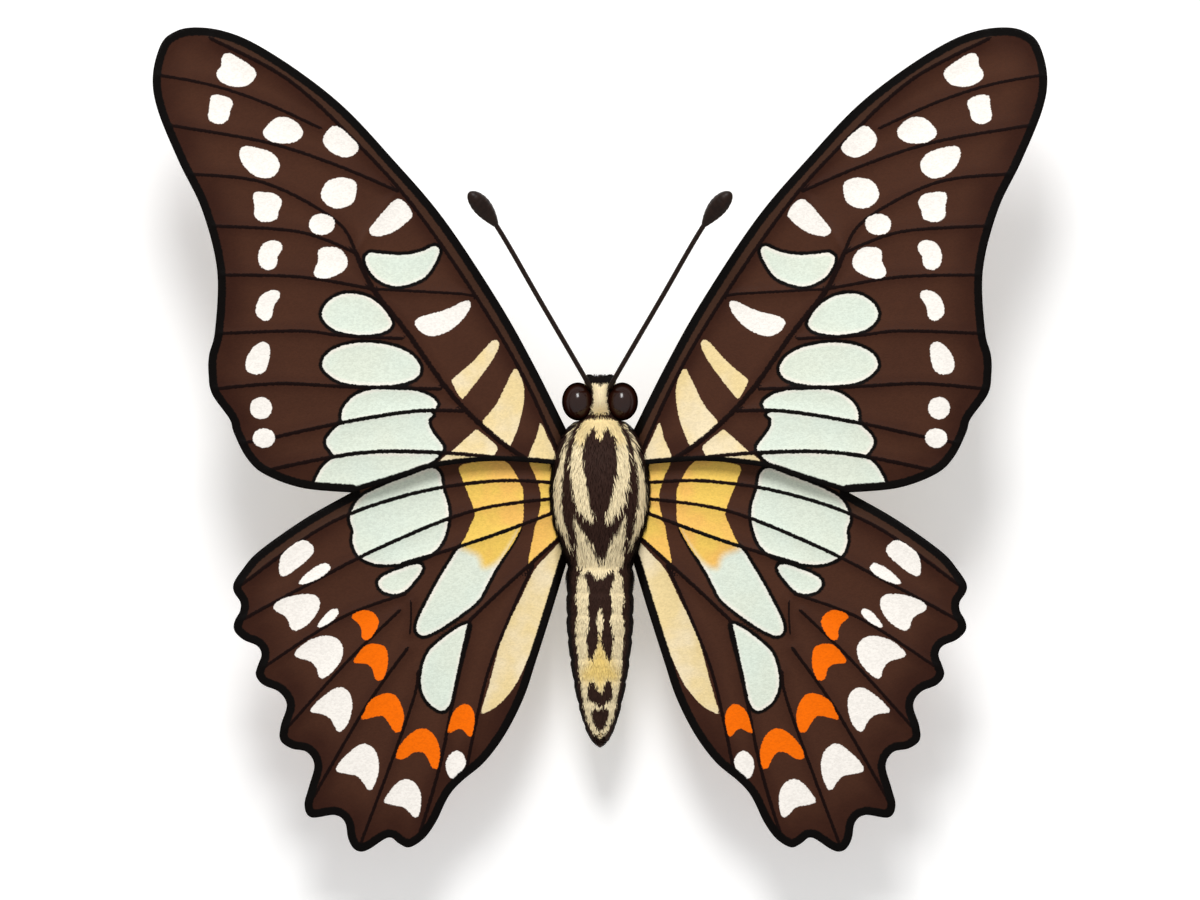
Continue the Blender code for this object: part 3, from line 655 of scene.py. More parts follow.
def scale_group():
    """Rows of overlapping scales: a random shade, a ragged shift and a height for each."""
    tree, nodes, start, end = group_tree(
        "wing_scales", {"Vector": "NodeSocketVector"},
        {"Shade": "NodeSocketFloat", "Shift": "NodeSocketFloat", "Height": "NodeSocketFloat"})
    stretch = nodes.add("ShaderNodeMapping")
    nodes.join(start.outputs["Vector"], stretch.inputs["Vector"])
    stretch.inputs["Scale"].default_value = (1 / SCALE_LENGTH, 1 / SCALE_WIDTH, 0)
    cells = nodes.add("ShaderNodeTexVoronoi", feature="F1")
    nodes.join(stretch.outputs["Vector"], cells.inputs["Vector"])
    cells.inputs["Scale"].default_value = 1.0
    apart = nodes.add("ShaderNodeSeparateColor")
    nodes.join(cells.outputs["Color"], apart.inputs["Color"])
    nodes.join(apart.outputs[0], end.inputs["Shade"])
    nodes.join(nodes.math("SUBTRACT", apart.outputs[1], 0.5), end.inputs["Shift"])
    nodes.join(nodes.math("SUBTRACT", 1.0, cells.outputs["Distance"]), end.inputs["Height"])
    return tree


SCALES = scale_group()


# %% [markdown]
# ## The wing's material
# From the bottom up: brown ground, darker towards the edge and beside the veins; then tan, yellow,
# green, white and orange patches, the pale ones with a thin black rim; then the veins' dark lines;
# and last the black border. The underside has the same patches on a paler ground.

# %% Painting the wings
BORDER = 0.65
RAGGED = 0.055


def wing_material(name, warm):
    """Scaled wing colours; warm gives the share of the deeper yellow."""
    material, nodes, shader = new_material(name)

    def cut(depth_in):
        return nodes.step(depth_in, -0.03, 0.03)

    where = nodes.place()
    scales = nodes.add("ShaderNodeGroup", node_tree=SCALES)
    nodes.join(where, scales.inputs["Vector"])
    ragged = nodes.times(scales.outputs["Shift"], RAGGED)
    cloud = nodes.noise(where, 260, 3)
    upper = nodes.field("upper")
    depths = {mark: nodes.plus(nodes.field(mark), ragged) for mark in MARK_NAMES}
    edge, past_line = nodes.field("edge"), nodes.field("past_line")

    ground = nodes.mix(nodes.step(edge, 0.6, 3.2), BROWN_EDGE, BROWN)
    beside_vein = nodes.step(past_line, -0.05, 0.95, 0.45, 0.0)
    ground = nodes.mix(beside_vein, ground, BROWN_EDGE)
    ground = nodes.mix(nodes.step(cloud, 0.35, 0.7, 0.0, 0.2), ground, BROWN_CLOUD)
    ground = nodes.mix(cut(nodes.field("strip")), ground, STRIP)
    colour = nodes.mix(upper, UNDER_BROWN, ground)

    rims = nodes.times(nodes.step(depths["green"], -0.34, -0.2), nodes.step(upper, 0, 1, 0.6, 1))
    colour = nodes.mix(rims, colour, BLACK)
    tan = nodes.mix(nodes.step(cloud, 0.4, 0.65, 0.0, 0.35), TAN, GREEN_RIM)
    colour = nodes.mix(cut(depths["tan"]), colour, tan)
    green = nodes.mix(nodes.step(depths["green"], 0.02, 0.4), GREEN_RIM, GREEN)
    green = nodes.mix(nodes.step(cloud, 0.3, 0.75, 0.0, 0.5), green, GREEN_CLOUD)
    green = nodes.mix(upper, UNDER_PALE, green)
    colour = nodes.mix(nodes.step(depths["green"], -0.015, 0.045), colour, green)
    yellow = nodes.mix(nodes.step(cloud, 0.4, 0.6), YELLOW, YELLOW_BASE)
    yellow = nodes.mix(warm, yellow, YELLOW_BASE)
    sharp = cut(depths["yellow"])
    soft = nodes.step(nodes.plus(depths["yellow"], nodes.times(cloud, 0.3)), -0.3, 0.6)
    in_green = cut(depths["green"])
    share = nodes.plus(nodes.times(sharp, nodes.math("SUBTRACT", 1.0, in_green)),
                       nodes.times(soft, in_green))
    colour = nodes.mix(share, colour, yellow)
    off_line = nodes.plus(nodes.math("ABSOLUTE", nodes.field("vein")),
                          nodes.times(scales.outputs["Shift"], 0.4))
    line = nodes.times(nodes.step(off_line, 1.25, 0.75), nodes.step(past_line, 0.13, 0.06))
    colour = nodes.mix(line, colour, VEIN_BROWN)
    colour = nodes.mix(nodes.times(line, nodes.step(depths["green"], -0.3, 0)), colour, BLACK)
    colour = nodes.mix(cut(depths["white"]), colour, WHITE)
    colour = nodes.mix(cut(depths["orange"]), colour, ORANGE)
    border_mask = nodes.step(nodes.plus(edge, ragged), BORDER + 0.05, BORDER - 0.05)
    colour = nodes.mix(border_mask, colour, BLACK)

    shade = nodes.step(scales.outputs["Shade"], 0.0, 1.0, 0.93, 1.05)
    nodes.paint(colour, shade, shader)
    pale = nodes.math("MAXIMUM", nodes.step(depths["green"], 0, 0.3),
                      nodes.step(depths["white"], 0, 0.3))
    rough = nodes.step(scales.outputs["Shade"], 0, 1, 0.5, 0.66)
    nodes.join(nodes.math("SUBTRACT", rough, nodes.times(pale, 0.1)), shader.inputs["Roughness"])
    nodes.bump(scales.outputs["Height"], 0.35, 0.02 * MM, shader)
    shader.inputs["Specular IOR Level"].default_value = 0.08
    return material


# %% Making the four wings
def outline_of(*runs):
    """One closed outline from curves laid end to end."""
    return np.vstack([curve(plan(points), 3 * PIXEL)[:-1] for points in runs])


def edge_lines(**runs):
    """Edges for the black border, and how much thinner it is along each."""
    thinner = {"outer": 0.0, "rear": 0.24 * MM}
    return [(curve(plan(points), 4 * PIXEL), thinner[key]) for key, points in runs.items()]


def make_wings():
    forewing = wing("forewing_skin_right", outline_of(FOREWING_EDGE, FOREWING_REAR, FOREWING_ROOT),
                    edge_lines(outer=FOREWING_EDGE, rear=FOREWING_REAR), FOREWING_VEINS,
                    FOREWING_MARKS, forewing_height)
    hindwing = wing("hindwing_skin_right", outline_of(HINDWING_FRONT, HINDWING_EDGE, HINDWING_ROOT),
                    edge_lines(outer=HINDWING_EDGE), HINDWING_VEINS, HINDWING_MARKS, hindwing_height)
    for kind, data, warm in (("forewing", forewing, 0.0), ("hindwing", hindwing, 0.3)):
        place_pair(f"{kind}_skin", data, wing_material(f"{kind}_scales", warm), kind, kind)
        print(kind, "vertices:", len(data.vertices))


make_wings()

# %% [markdown]
# ## Rolling a skin out of a grid
# The body, the legs, the feelers and the tongue are all long and round. A sheet of cells is rolled
# up for each: a function says where the place "so far round and so far along" lies, and the two
# edges that meet are merged. It is the same idea as lofting through rings, with one short function.

# %% Rolled skins
def rolled(mesh, across, along, place):
    """Roll a grid into a closed skin; place gives the points for shares round and along it."""
    made = bmesh.ops.create_grid(mesh, x_segments=across, y_segments=along, size=0.5)["verts"]
    shares = np.array([vert.co[:2] for vert in made]) + 0.5
    for vert, point in zip(made, place(shares[:, 0], shares[:, 1])):
        vert.co = point
    bmesh.ops.remove_doubles(mesh, verts=made, dist=0.0004 * MM)


def tube_place(path, radii, flatten=1.0):
    """The place function of a limb along a path, closed at both ends; its side never turns over."""
    path, radii = np.asarray(path, float), np.asarray(radii, float)
    steps = np.linalg.norm(np.diff(path, axis=0), axis=1)
    shares = np.concatenate([[0], np.cumsum(steps)]) / steps.sum()
    heading = np.gradient(path, axis=0)
    heading /= np.linalg.norm(heading, axis=1)[:, None]
    side = np.cross(heading, [0, 0, 1.0])
    side[0] /= np.linalg.norm(side[0])
    for k in range(1, len(side)):
        carried = side[k - 1] - heading[k] * (side[k - 1] @ heading[k])
        side[k] = carried / np.linalg.norm(carried)
    lift = np.cross(side, heading)

    def place(round_share, along_share):
        def along(values):
            return np.stack([np.interp(along_share, shares, column) for column in values.T], 1)
        ends = np.minimum(along_share, 1 - along_share) * steps.sum()
        radius = np.interp(along_share, shares, radii)
        radius = radius * np.sqrt(np.clip(1 - (1 - np.minimum(ends / radius, 1)) ** 2, 0, 1))
        angle = 2 * np.pi * round_share
        across = along(side) * (radius * np.sin(angle))[:, None]
        upward = along(lift) * (radius * np.cos(angle) * flatten)[:, None]
        return along(path) + across + upward

    return place


def closed_mesh(name, mesh):
    """Finish a bmesh: faces turned outwards, then into mesh data."""
    bmesh.ops.recalc_face_normals(mesh, faces=mesh.faces)
    data = bpy.data.meshes.new(name)
    mesh.to_mesh(data)
    mesh.free()
    return data


def limb(name, path, radii, across, flatten=1.0):
    """A limb's closed skin, with so many faces round it."""
    mesh = bmesh.new()
    rolled(mesh, across, len(path) - 1, tube_place(path, radii, flatten))
    return closed_mesh(name, mesh)


# %% [markdown]
# ## The body's shape
# Head, neck, thorax and abdomen are one skin here, so that no seam shows between them. It lies
# inside the solids by the depth of the coat, and the hair makes up the difference. Between the eyes
# the head is only a narrow ridge, because a butterfly's eyes fill most of its head. A low swelling
# at the shoulders stands for the hairy flaps that cover the forewings' roots.

# %% Sections: place along, half width, top, underside and depth of coat, in millimetres
BODY_SECTIONS = np.array([
    (4.5, 0.05, 7.35, 7.25, 0.0), (4.42, 0.65, 8.0, 6.4, 0.05), (4.15, 0.95, 8.4, 5.8, 0.12),
    (3.7, 1.0, 8.62, 5.4, 0.15), (3.0, 1.0, 8.75, 5.25, 0.15), (2.45, 1.1, 8.6, 5.4, 0.15),
    (2.0, 1.3, 8.35, 5.7, 0.15), (1.62, 1.6, 8.35, 5.6, 0.15), (1.3, 2.1, 8.6, 5.3, 0.17),
    (1.0, 2.45, 8.9, 5.05, 0.2), (0.5, 2.88, 9.25, 4.8, 0.2), (-0.35, 3.36, 9.8, 4.5, 0.22),
    (-2.15, 3.84, 10.5, 4.15, 0.22), (-3.95, 4.04, 10.75, 4.0, 0.22), (-5.85, 3.92, 10.6, 4.05, 0.22),
    (-7.35, 3.53, 10.2, 4.3, 0.22), (-8.5, 3.0, 9.7, 4.6, 0.2), (-9.4, 2.6, 9.25, 4.9, 0.16),
    (-10.0, 2.55, 9.15, 4.85, 0.12), (-10.8, 2.66, 9.35, 4.6, 0.12), (-14.4, 2.66, 9.3, 4.3, 0.12),
    (-16.5, 2.48, 8.95, 4.2, 0.12), (-18.6, 2.19, 8.5, 4.25, 0.12), (-20.6, 1.79, 8.0, 4.4, 0.12),
    (-22.3, 1.3, 7.35, 4.6, 0.1), (-23.5, 0.8, 6.75, 4.95, 0.1), (-24.2, 0.05, 5.85, 5.75, 0.0),
]) * MM
BODY_TABLE = curve(BODY_SECTIONS, 0.1 * MM)[::-1]
BODY_FRONT, BODY_REAR = BODY_SECTIONS[0, 0], BODY_SECTIONS[-1, 0]
FACE_HEIGHT, TAIL_HEIGHT = 7.3 * MM, 5.8 * MM
SHOULDER, SHOULDER_Y, SHOULDER_LENGTH = 0.1, -0.5 * MM, 1.4 * MM
SHOULDER_ANGLE, SHOULDER_SPREAD = math.radians(62), 0.3
RING_START, RING_LENGTH, RING_GROOVE, RING_WIDTH = -10.2 * MM, 1.72 * MM, 0.02, 0.16


def section(y):
    """Half width, top, underside and depth of coat at places along the body."""
    return (np.interp(y, BODY_TABLE[:, 0], BODY_TABLE[:, k]) for k in (1, 2, 3, 4))


def body_point(y, angle, share=0.0):
    """A place on the body at an angle from its top; share 0 is the skin, 1 the tips of the coat."""
    half, top, under, coat = section(y)
    middle, tall = (top + under) / 2, (top - under) / 2
    inset = coat * (1 - share)
    swell = 1 + SHOULDER * (np.exp(-((np.abs(angle) - SHOULDER_ANGLE) / SHOULDER_SPREAD) ** 2)
                            * np.exp(-((y - SHOULDER_Y) / SHOULDER_LENGTH) ** 2))
    ring = (RING_START - y) / RING_LENGTH
    apart = np.abs(ring - np.round(ring))
    groove = RING_GROOVE * np.exp(-(apart / RING_WIDTH) ** 2) * (y < RING_START + 0.3 * MM)
    swell = swell * (1 - groove * (1 - share))
    return np.stack([np.maximum(half - inset, 0) * swell * np.sin(angle), y + 0 * angle,
                     middle + np.maximum(tall - inset, 0) * swell * np.cos(angle)], 1)


# %% [markdown]
# ## The body's markings
# Seen from above, the dark fur carries a cream horseshoe on the thorax, a cream V behind it, a
# cream line low on each flank and a cream back to the abdomen with dark lobes, a heart and a drop.
# As on the wings, each is kept as a distance. Painted shade makes the dark fur nearly black on the
# flanks, and below the flanks the body is pale, as in the species.

# %% Loops of the markings, on the picture's left half and a little over the midline
CREAM_LOOPS = [
    [(589.5, 384.5), (592.8, 390), (593.3, 396), (593.6, 403), (592, 408.5), (590, 411), (604, 411),
     (604, 385.5), (599.5, 388), (594.5, 385)],
    [(577.5, 422), (568, 436), (561.5, 451.5), (557, 467), (554.8, 483), (554.8, 498.5), (556.5, 514),
     (560, 524.5), (564.5, 535), (568, 541), (566.7, 532), (564.6, 521), (562.9, 507), (561.8, 493),
     (562.6, 477.6), (563.5, 464.5), (566, 451), (570, 438), (575, 428)],
    [(604, 416.5), (599, 416.5), (585, 419.5), (578, 431.5), (572, 449), (570.5, 462.5), (572.5, 479),
     (575.5, 498), (582, 508), (592.5, 516), (592.8, 508), (589.2, 495), (586.5, 480), (583.3, 458),
     (584, 444), (587, 434), (591, 428.5), (593.5, 425), (596, 429), (600, 436), (604, 430)],
    [(573.3, 509), (574.3, 525), (574, 540), (575, 554), (580, 562), (588, 568.5), (600, 577),
     (605, 574), (605, 550), (600, 555.5), (592.7, 543), (586, 531), (579, 520)],
]
CREAM_BACK = [[(580.5, 571.5), (577, 584), (576, 597), (577.4, 610), (575.4, 622), (575.5, 632),
               (577, 645), (577.5, 657), (579, 676), (582, 693), (584, 708), (589.5, 723.5), (600, 740),
               (606, 732), (606, 570)]]
DARK_LOOPS = [
    [(585, 571), (587, 580.5), (589.3, 592), (588, 601), (588, 612), (589.3, 620), (586.3, 632),
     (586.5, 640), (589.5, 658), (595, 649.5), (597.5, 642), (599.3, 633), (596.6, 621), (597.8, 611),
     (600, 604), (605, 603), (605, 568)],
    [(590.8, 677), (586.4, 690), (588.3, 696.6), (594.6, 702), (600, 704), (605, 703), (604, 690),
     (600, 691.5), (595, 681)],
    [(591, 705.5), (590.6, 711), (593, 720), (600, 729), (605, 724), (605, 705), (598, 705)],
]
PALE_YELLOW_LOOPS = [
    [(604, 416.5), (590, 418.5), (584, 424.5), (582, 434), (590, 432), (604, 432)],
]
YELLOW_LOOPS = [
    [(604, 636), (597, 646), (589, 662), (582, 672), (588, 677), (594, 676), (604, 684)],
]


def body_fields(places):
    """The distances in mm that the body's colours are cut from, for places on it."""
    half, top, under, coat = section(places[:, 1])
    out = half / np.maximum(half - coat / 2, 0.5 * half)
    flat = np.stack([np.abs(places[:, 0]) * out, places[:, 1]], 1)
    back = np.minimum(depth(flat, CREAM_BACK), -depth(flat, DARK_LOOPS))
    rise = (places[:, 2] - (top + under) / 2) / np.maximum(top - under, 0.2 * MM) * 2
    cream = np.maximum(depth(flat, CREAM_LOOPS), back)
    yellow = np.maximum(np.minimum(depth(flat, PALE_YELLOW_LOOPS), -0.25), depth(flat, YELLOW_LOOPS))
    return {"cream": cream, "yellow": yellow, "rise": rise}


# %% One group for the skin's and the coat's colours
def marking_group():
    """Fur colours from the stored distances; the ragged shift is different on each tuft."""
    tree, nodes, start, end = group_tree(
        "body_markings", dict.fromkeys(("Cream", "Yellow", "Rise", "Ragged"), "NodeSocketFloat"),
        {"Color": "NodeSocketColor"})
    value = start.outputs
    ragged = nodes.times(nodes.math("SUBTRACT", value["Ragged"], 0.5), 0.16)
    cream = nodes.step(nodes.plus(value["Cream"], ragged), -0.05, 0.05)
    from_top = nodes.step(value["Rise"], 0.26, 0.4)
    cream = nodes.times(cream, from_top)
    below = nodes.step(nodes.plus(value["Rise"], ragged), -0.3, -0.45)
    pale = nodes.mix(nodes.step(value["Yellow"], -0.9, 0.55), CREAM, CREAM_YELLOW)
    # Painted shade: lower on the flanks the dark fur turns nearly black.
    dark = nodes.mix(nodes.step(value["Rise"], 0.3, 0.6), FUR_PAINTED_SHADE, FUR_DARK)
    colour = nodes.mix(cream, dark, pale)
    colour = nodes.mix(below, colour, UNDER_FUR)
    nodes.join(colour, end.inputs["Color"])
    return tree


MARKINGS = marking_group()


def fur_material(name, tuft):
    """The body's colours for the skin, or for tufts with painted shade at the root and painted
    light at the tip.
    """
    material, nodes, shader = new_material(name)
    marks = nodes.add("ShaderNodeGroup", node_tree=MARKINGS)
    for key in ("Cream", "Yellow", "Rise"):
        nodes.join(nodes.field(key.lower()), marks.inputs[key])
    where = nodes.place()
    ragged = nodes.field("random") if tuft else nodes.noise(where, 9000)
    nodes.join(ragged, marks.inputs["Ragged"])
    shade = nodes.step(ragged, 0, 1, 0.88, 1.06)
    if tuft:
        # Painted shade towards each tuft's root and painted light towards its tip.
        shade = nodes.times(shade, nodes.step(nodes.field("tip"), 0, 1, 0.94, 1.1))
    nodes.paint(marks.outputs["Color"], shade, shader)
    shader.inputs["Roughness"].default_value = 0.62
    shader.inputs["Specular IOR Level"].default_value = 0.1
    if not tuft:
        nodes.bump(nodes.noise(where, 7000), 0.5, 0.05 * MM, shader)
    return material


# %% The skin of the whole body
def make_body():
    """One skin from the face to the tip of the abdomen."""
    def place(round_share, along_share):
        y = BODY_FRONT + (BODY_REAR - BODY_FRONT) * along_share
        end = (along_share == 0) | (along_share == 1)
        points = body_point(y, (round_share * 2 - 1) * np.pi)
        points[end, 0] = 0
        points[end, 2] = np.where(along_share[end] == 0, FACE_HEIGHT, TAIL_HEIGHT)
        return points

    mesh = bmesh.new()
    rolled(mesh, 72, 190, place)
    data = closed_mesh("body_skin", mesh)
    places = np.array([vert.co[:] for vert in data.vertices])
    for key, values in body_fields(places).items():
        store(data, key, values)
    place_piece("body_skin", data, fur_material("body_skin", False), "body_hair",
                "head", "prothorax", "thorax", "abdomen")
    print("body skin vertices:", len(places))


make_body()

# %% [markdown]
# ## The coat
# A butterfly's body is covered in long flat-lying hair on the thorax, short hair on the face and
# scale-like hair on the abdomen. Each tuft here is a thin closed sliver of ten triangles that rises
# a little and bends back onto the body. All tufts of a region are joined in one mesh with arrays,
# since making each with its own operator would take minutes. Each carries the markings of the place
# where it is rooted, so an edge between dark and cream breaks up into hairs, as in real fur.

# %% Tufts as arrays
def unit(vectors):
    return vectors / np.maximum(np.linalg.norm(vectors, axis=1)[:, None], 1e-12)


TUFT_FACES = [(0, 1, 4, 3), (1, 2, 5, 4), (2, 0, 3, 5), (3, 4, 6), (4, 5, 6), (5, 3, 6), (2, 1, 0)]
TUFT_NORMALS = ((-0.5, 0), (0.5, 0), (0, 0), (-0.5, 0), (0.5, 0), (0, 0), (0, 0.2))
ROOT_DEPTH = 0.06 * MM
PATCH = 0.0015
PATCH_CORNERS = PATCH * np.array([(-1, -1), (1, -1), (0, -0.4), (-0.7, 0.3), (0.7, 0.3), (0, 0.5),
                                  (0, 1)])


def tuft_mesh(name, roots, normals, leans, lengths, widths, lift, shares, fields, rng):
    """Closed slivers from roots along leans, bent by a lift, with their patches and fields."""
    count = len(roots)
    side = np.cross(normals, leans)
    side /= np.maximum(np.linalg.norm(side, axis=1)[:, None], 1e-9)
    lengths, widths = lengths[:, None], widths[:, None]
    lift = (lift * rng.uniform(0.7, 1.3, count))[:, None]
    middle = roots + leans * lengths * 0.5 + normals * lengths * lift * 0.6
    tip = roots + leans * lengths + normals * lengths * lift * 0.75
    low = roots - normals * ROOT_DEPTH
    points = np.stack([
        low - side * widths / 2, low + side * widths / 2, low + normals * widths * 0.3,
        middle - side * widths * 0.42, middle + side * widths * 0.42, middle + normals * widths * 0.22,
        tip], 1)
    flat_points = points.reshape(-1, 3)
    faces = [(np.array(face)[None, :] + 7 * np.arange(count)[:, None]) for face in TUFT_FACES]
    loops = np.concatenate([face.ravel() for face in faces])
    totals = np.concatenate([np.full(count, len(face)) for face in TUFT_FACES])
    data = bpy.data.meshes.new(name)
    data.vertices.add(len(flat_points))
    data.vertices.foreach_set("co", flat_points.ravel())
    data.loops.add(len(loops))
    data.loops.foreach_set("vertex_index", loops)
    data.polygons.add(len(totals))
    data.polygons.foreach_set("loop_start", np.concatenate([[0], np.cumsum(totals)[:-1]]))
    data.update(calc_edges=True)
    corners = (shares[:, None, :] + PATCH_CORNERS[None]).reshape(-1, 2)
    unwrap = data.uv_layers.new(name="OFBake")
    unwrap.data.foreach_set("uv", np.clip(corners[loops], 0, 1).ravel().astype(np.float32))
    for key, values in fields.items():
        store(data, key, np.repeat(values, 7))
    store(data, "random", np.repeat(rng.uniform(0, 1, count), 7))
    store(data, "tip", np.tile([0, 0, 0, 0.5, 0.5, 0.5, 1.0], count))
    rounded = np.stack([side * across + leans * along + normals for across, along in TUFT_NORMALS], 1)
    data.normals_split_custom_set_from_vertices(unit(rounded.reshape(-1, 3)))
    return data


def body_roots(front, rear, spacing, rng):
    """Evenly spread roots over a stretch of the body, with their normals and headings."""
    stations = np.arange(front, rear, -spacing)
    places, angles = [], []
    for y in stations:
        ring = body_point(np.full(24, y), np.linspace(-np.pi, np.pi, 24))
        around = max(3, int(np.linalg.norm(np.diff(ring, axis=0), axis=1).sum() / spacing))
        start = rng.uniform(0, 1)
        angles.append((np.arange(around) + start) / around * 2 * np.pi - np.pi)
        places.append(np.full(around, y))
    y, angle = np.concatenate(places), np.concatenate(angles)
    y = y + rng.uniform(-0.5, 0.5, len(y)) * spacing
    angle = angle + rng.uniform(-0.3, 0.3, len(y)) * spacing / (2 * MM)
    small = 0.01 * MM
    root = body_point(y, angle)
    forward = unit(body_point(y + small, angle) - root)
    around = unit(body_point(y, angle + 0.01) - root)
    normal = unit(np.cross(around, forward))
    outward = np.sum(normal * (root - body_point(y, angle) * [0, 1, 0] - [0, 0, 7 * MM]), 1)
    normal *= np.where(outward < 0, -1, 1)[:, None]
    shares = np.stack([angle / (2 * np.pi) + 0.5, (y - BODY_REAR) / (BODY_FRONT - BODY_REAR)], 1)
    return root, normal, forward, around, angle, shares


def make_coat(name, front, rear, spacing, length, width, lift, forward_from, material, seed,
              combed=None):
    """The tufts of one stretch of the body; ahead of a place they lie forwards, behind it backwards."""
    rng = np.random.default_rng(seed)
    root, normal, forward, around, angle, shares = body_roots(front, rear, spacing, rng)
    clear = np.ones(len(root), bool)
    for side in SIDES.values():
        offset = (root - EYE_CENTRE * [side, 1, 1]) / (EYE_RADII * 1.02)
        clear &= np.linalg.norm(offset, axis=1) > 1
    ahead = np.clip((root[:, 1] - forward_from) / (0.4 * MM), -1, 1)[:, None]
    sideways = around * rng.normal(0, 0.14, len(root))[:, None]
    lean = unit(forward * ahead + sideways + forward * 0.02)
    if combed:
        fan = np.stack([root[:, 0] / MM * 0.3, 0 * angle, 0 * angle], 1)
        lean = unit(np.array(combed) + sideways + fan)
    lengths = length(root, angle) * rng.uniform(0.75, 1.2, len(root))
    widths = np.full(len(root), width) * rng.uniform(0.8, 1.2, len(root))
    fields = {key: values[clear] for key, values in body_fields(root).items()}
    tufts = int(clear.sum())
    if combed:
        fields["cream"] = np.full(tufts, -1.0)
        fields["rise"] = np.zeros(tufts)
    data = tuft_mesh(name, root[clear], normal[clear], lean[clear], lengths[clear], widths[clear],
                     lift, shares[clear], fields, rng)
    place_piece(name, data, material, "body_hair")
    print(name, "tufts:", tufts)


# %% Coat of the face, the thorax and the abdomen
EYE_CENTRE = np.array([1.73, 2.98, 7.15]) * MM
EYE_RADII = np.array([1.26, 1.5, 1.65]) * MM
CROWN_Y, NECK_Y, BEYOND_HEAD = 2.3 * MM, 1.7 * MM, 9 * MM


def thorax_length(root, angle):
    """Hair is longest on the flanks and along the rear edge, where it makes a skirt."""
    flank = np.exp(-((np.abs(angle) - 1.7) / 0.6) ** 2)
    skirt = np.exp(-((root[:, 1] + 9.2 * MM) / (1.0 * MM)) ** 2)
    collar = np.clip((2.0 * MM - root[:, 1]) / (1.5 * MM), 0.4, 1)
    return (0.95 + 0.35 * flank + 0.75 * skirt) * collar * MM


def abdomen_length(root, angle):
    """Short scale-like hair, shorter still at the tip."""
    tip = np.clip((root[:, 1] - BODY_REAR) / (2 * MM), 0.5, 1)
    return 0.5 * tip * MM


def face_length(root, angle):
    """Short hair all over the face."""
    return np.full(len(root), 0.34 * MM)


def brow_length(root, angle):
    """The fringe between the feelers stands forward over the palps."""
    return np.where(root[:, 2] > 6.8 * MM, 0.62, 0.3) * MM


def make_coats():
    """Four coats, with hair that parts on top of the head and lies backwards behind it."""
    fur = fur_material("body_fur", True)
    make_coat("coat_brow", BODY_FRONT, 4.2 * MM, 0.04 * MM, brow_length, 0.08 * MM, 0.05,
              CROWN_Y, fur, 14, combed=(0, 1, -0.1))
    make_coat("coat_face", BODY_FRONT - 0.05 * MM, NECK_Y, 0.085 * MM, face_length, 0.07 * MM, 0.35,
              CROWN_Y, fur, 11)
    make_coat("coat_thorax", NECK_Y, -9.7 * MM, 0.125 * MM, thorax_length, 0.11 * MM, 0.22,
              BEYOND_HEAD, fur, 12)
    make_coat("coat_abdomen", -9.9 * MM, -24.0 * MM, 0.13 * MM, abdomen_length, 0.12 * MM, 0.16,
              BEYOND_HEAD, fur, 13)


make_coats()

# %% [markdown]
# ## Eyes
# A butterfly's eye is a smooth dark dome of thousands of six-sided lenses, and it shines. The dome
# is a squashed sphere that sits in the side of the head, and a fine cell pattern makes the lenses.
# It is brown on top, and painted shade makes it nearly black from the sides down. The gloss fades
# towards the rim, where a smooth dome would mirror the bright floor as a pale ring.

# %% The eyes
EYE_BROWN, EYE_PAINTED_SHADE = screen("271009"), screen("0B0403")
BROWN_ABOVE, PAINTED_SHADE_BELOW = 8.25 * MM, 7.65 * MM
LENS = 0.07 * MM


def make_eyes():
    """Both domes, glossy and finely faceted."""
    material, nodes, shader = new_material("eye_dome")
    shader.inputs["Roughness"].default_value = 0.17
    rim = nodes.add("ShaderNodeLayerWeight").outputs["Facing"]
    shader.inputs["Specular IOR Level"].default_value = 0.3
    nodes.join(nodes.step(rim, 0.1, 0.46, 0.46, 0.0), shader.inputs["Specular IOR Level"])
    where = nodes.place()
    apart = nodes.add("ShaderNodeSeparateXYZ")
    nodes.join(where, apart.inputs[0])
    # Painted shade: below its widest part the dome turns from brown to nearly black.
    low = nodes.step(apart.outputs["Z"], BROWN_ABOVE, PAINTED_SHADE_BELOW)
    nodes.join(nodes.mix(low, EYE_BROWN, EYE_PAINTED_SHADE), shader.inputs["Base Color"])
    cells = nodes.add("ShaderNodeTexVoronoi", feature="F1")
    nodes.join(where, cells.inputs["Vector"])
    cells.inputs["Scale"].default_value = 1 / LENS
    nodes.bump(cells.outputs["Distance"], 0.15, 0.01 * MM, shader, invert=True)
    for word, side in SIDES.items():
        mesh = bmesh.new()
        bmesh.ops.create_uvsphere(mesh, u_segments=64, v_segments=40, radius=1)
        bmesh.ops.scale(mesh, vec=EYE_RADII, verts=mesh.verts)
        bmesh.ops.translate(mesh, vec=EYE_CENTRE * [side, 1, 1], verts=mesh.verts)
        name = f"eye_dome_{word}"
        place_piece(name, closed_mesh(name, mesh), material, "eye", f"eye_{word}")
    print("eyes of", (EYE_RADII * 2 / MM).round(2), "mm")


make_eyes()

# %% [markdown]
# ## Feelers, palps and tongue
# A feeler is a chain of about forty short joints, each a little wider at its outer end, and it ends
# in a long club. The tongue is a tube coiled like a watch spring under the head, and a hairy palp
# stands at each side of it.

# %% Cuticle and the feelers
def cuticle_material(name, colour, roughness, relief):
    """Mottled horny skin."""
    material, nodes, shader = new_material(name)
    where = nodes.place()
    mottle = nodes.noise(where, 2500, 3)
    nodes.paint(colour, nodes.step(mottle, 0.3, 0.7, 0.75, 1.25), shader)
    shader.inputs["Roughness"].default_value = roughness
    shader.inputs["Specular IOR Level"].default_value = 0.2
    nodes.bump(mottle, relief, 0.02 * MM, shader)
    return material


FEELER_BROWN = screen("20110A")
ANTENNA_ROOT = np.array([0.75, 4.0, 7.7]) * MM
ANTENNA_FIRST = np.array([1.27, 5.0, 9.1]) * MM
ANTENNA_RISE = math.tan(math.radians(20))
STEM_RADIUS, CLUB_SWELL = 0.2 * MM, 0.55 * MM
JOINTS = 44
CLUB_LENGTH = 3.6 * MM


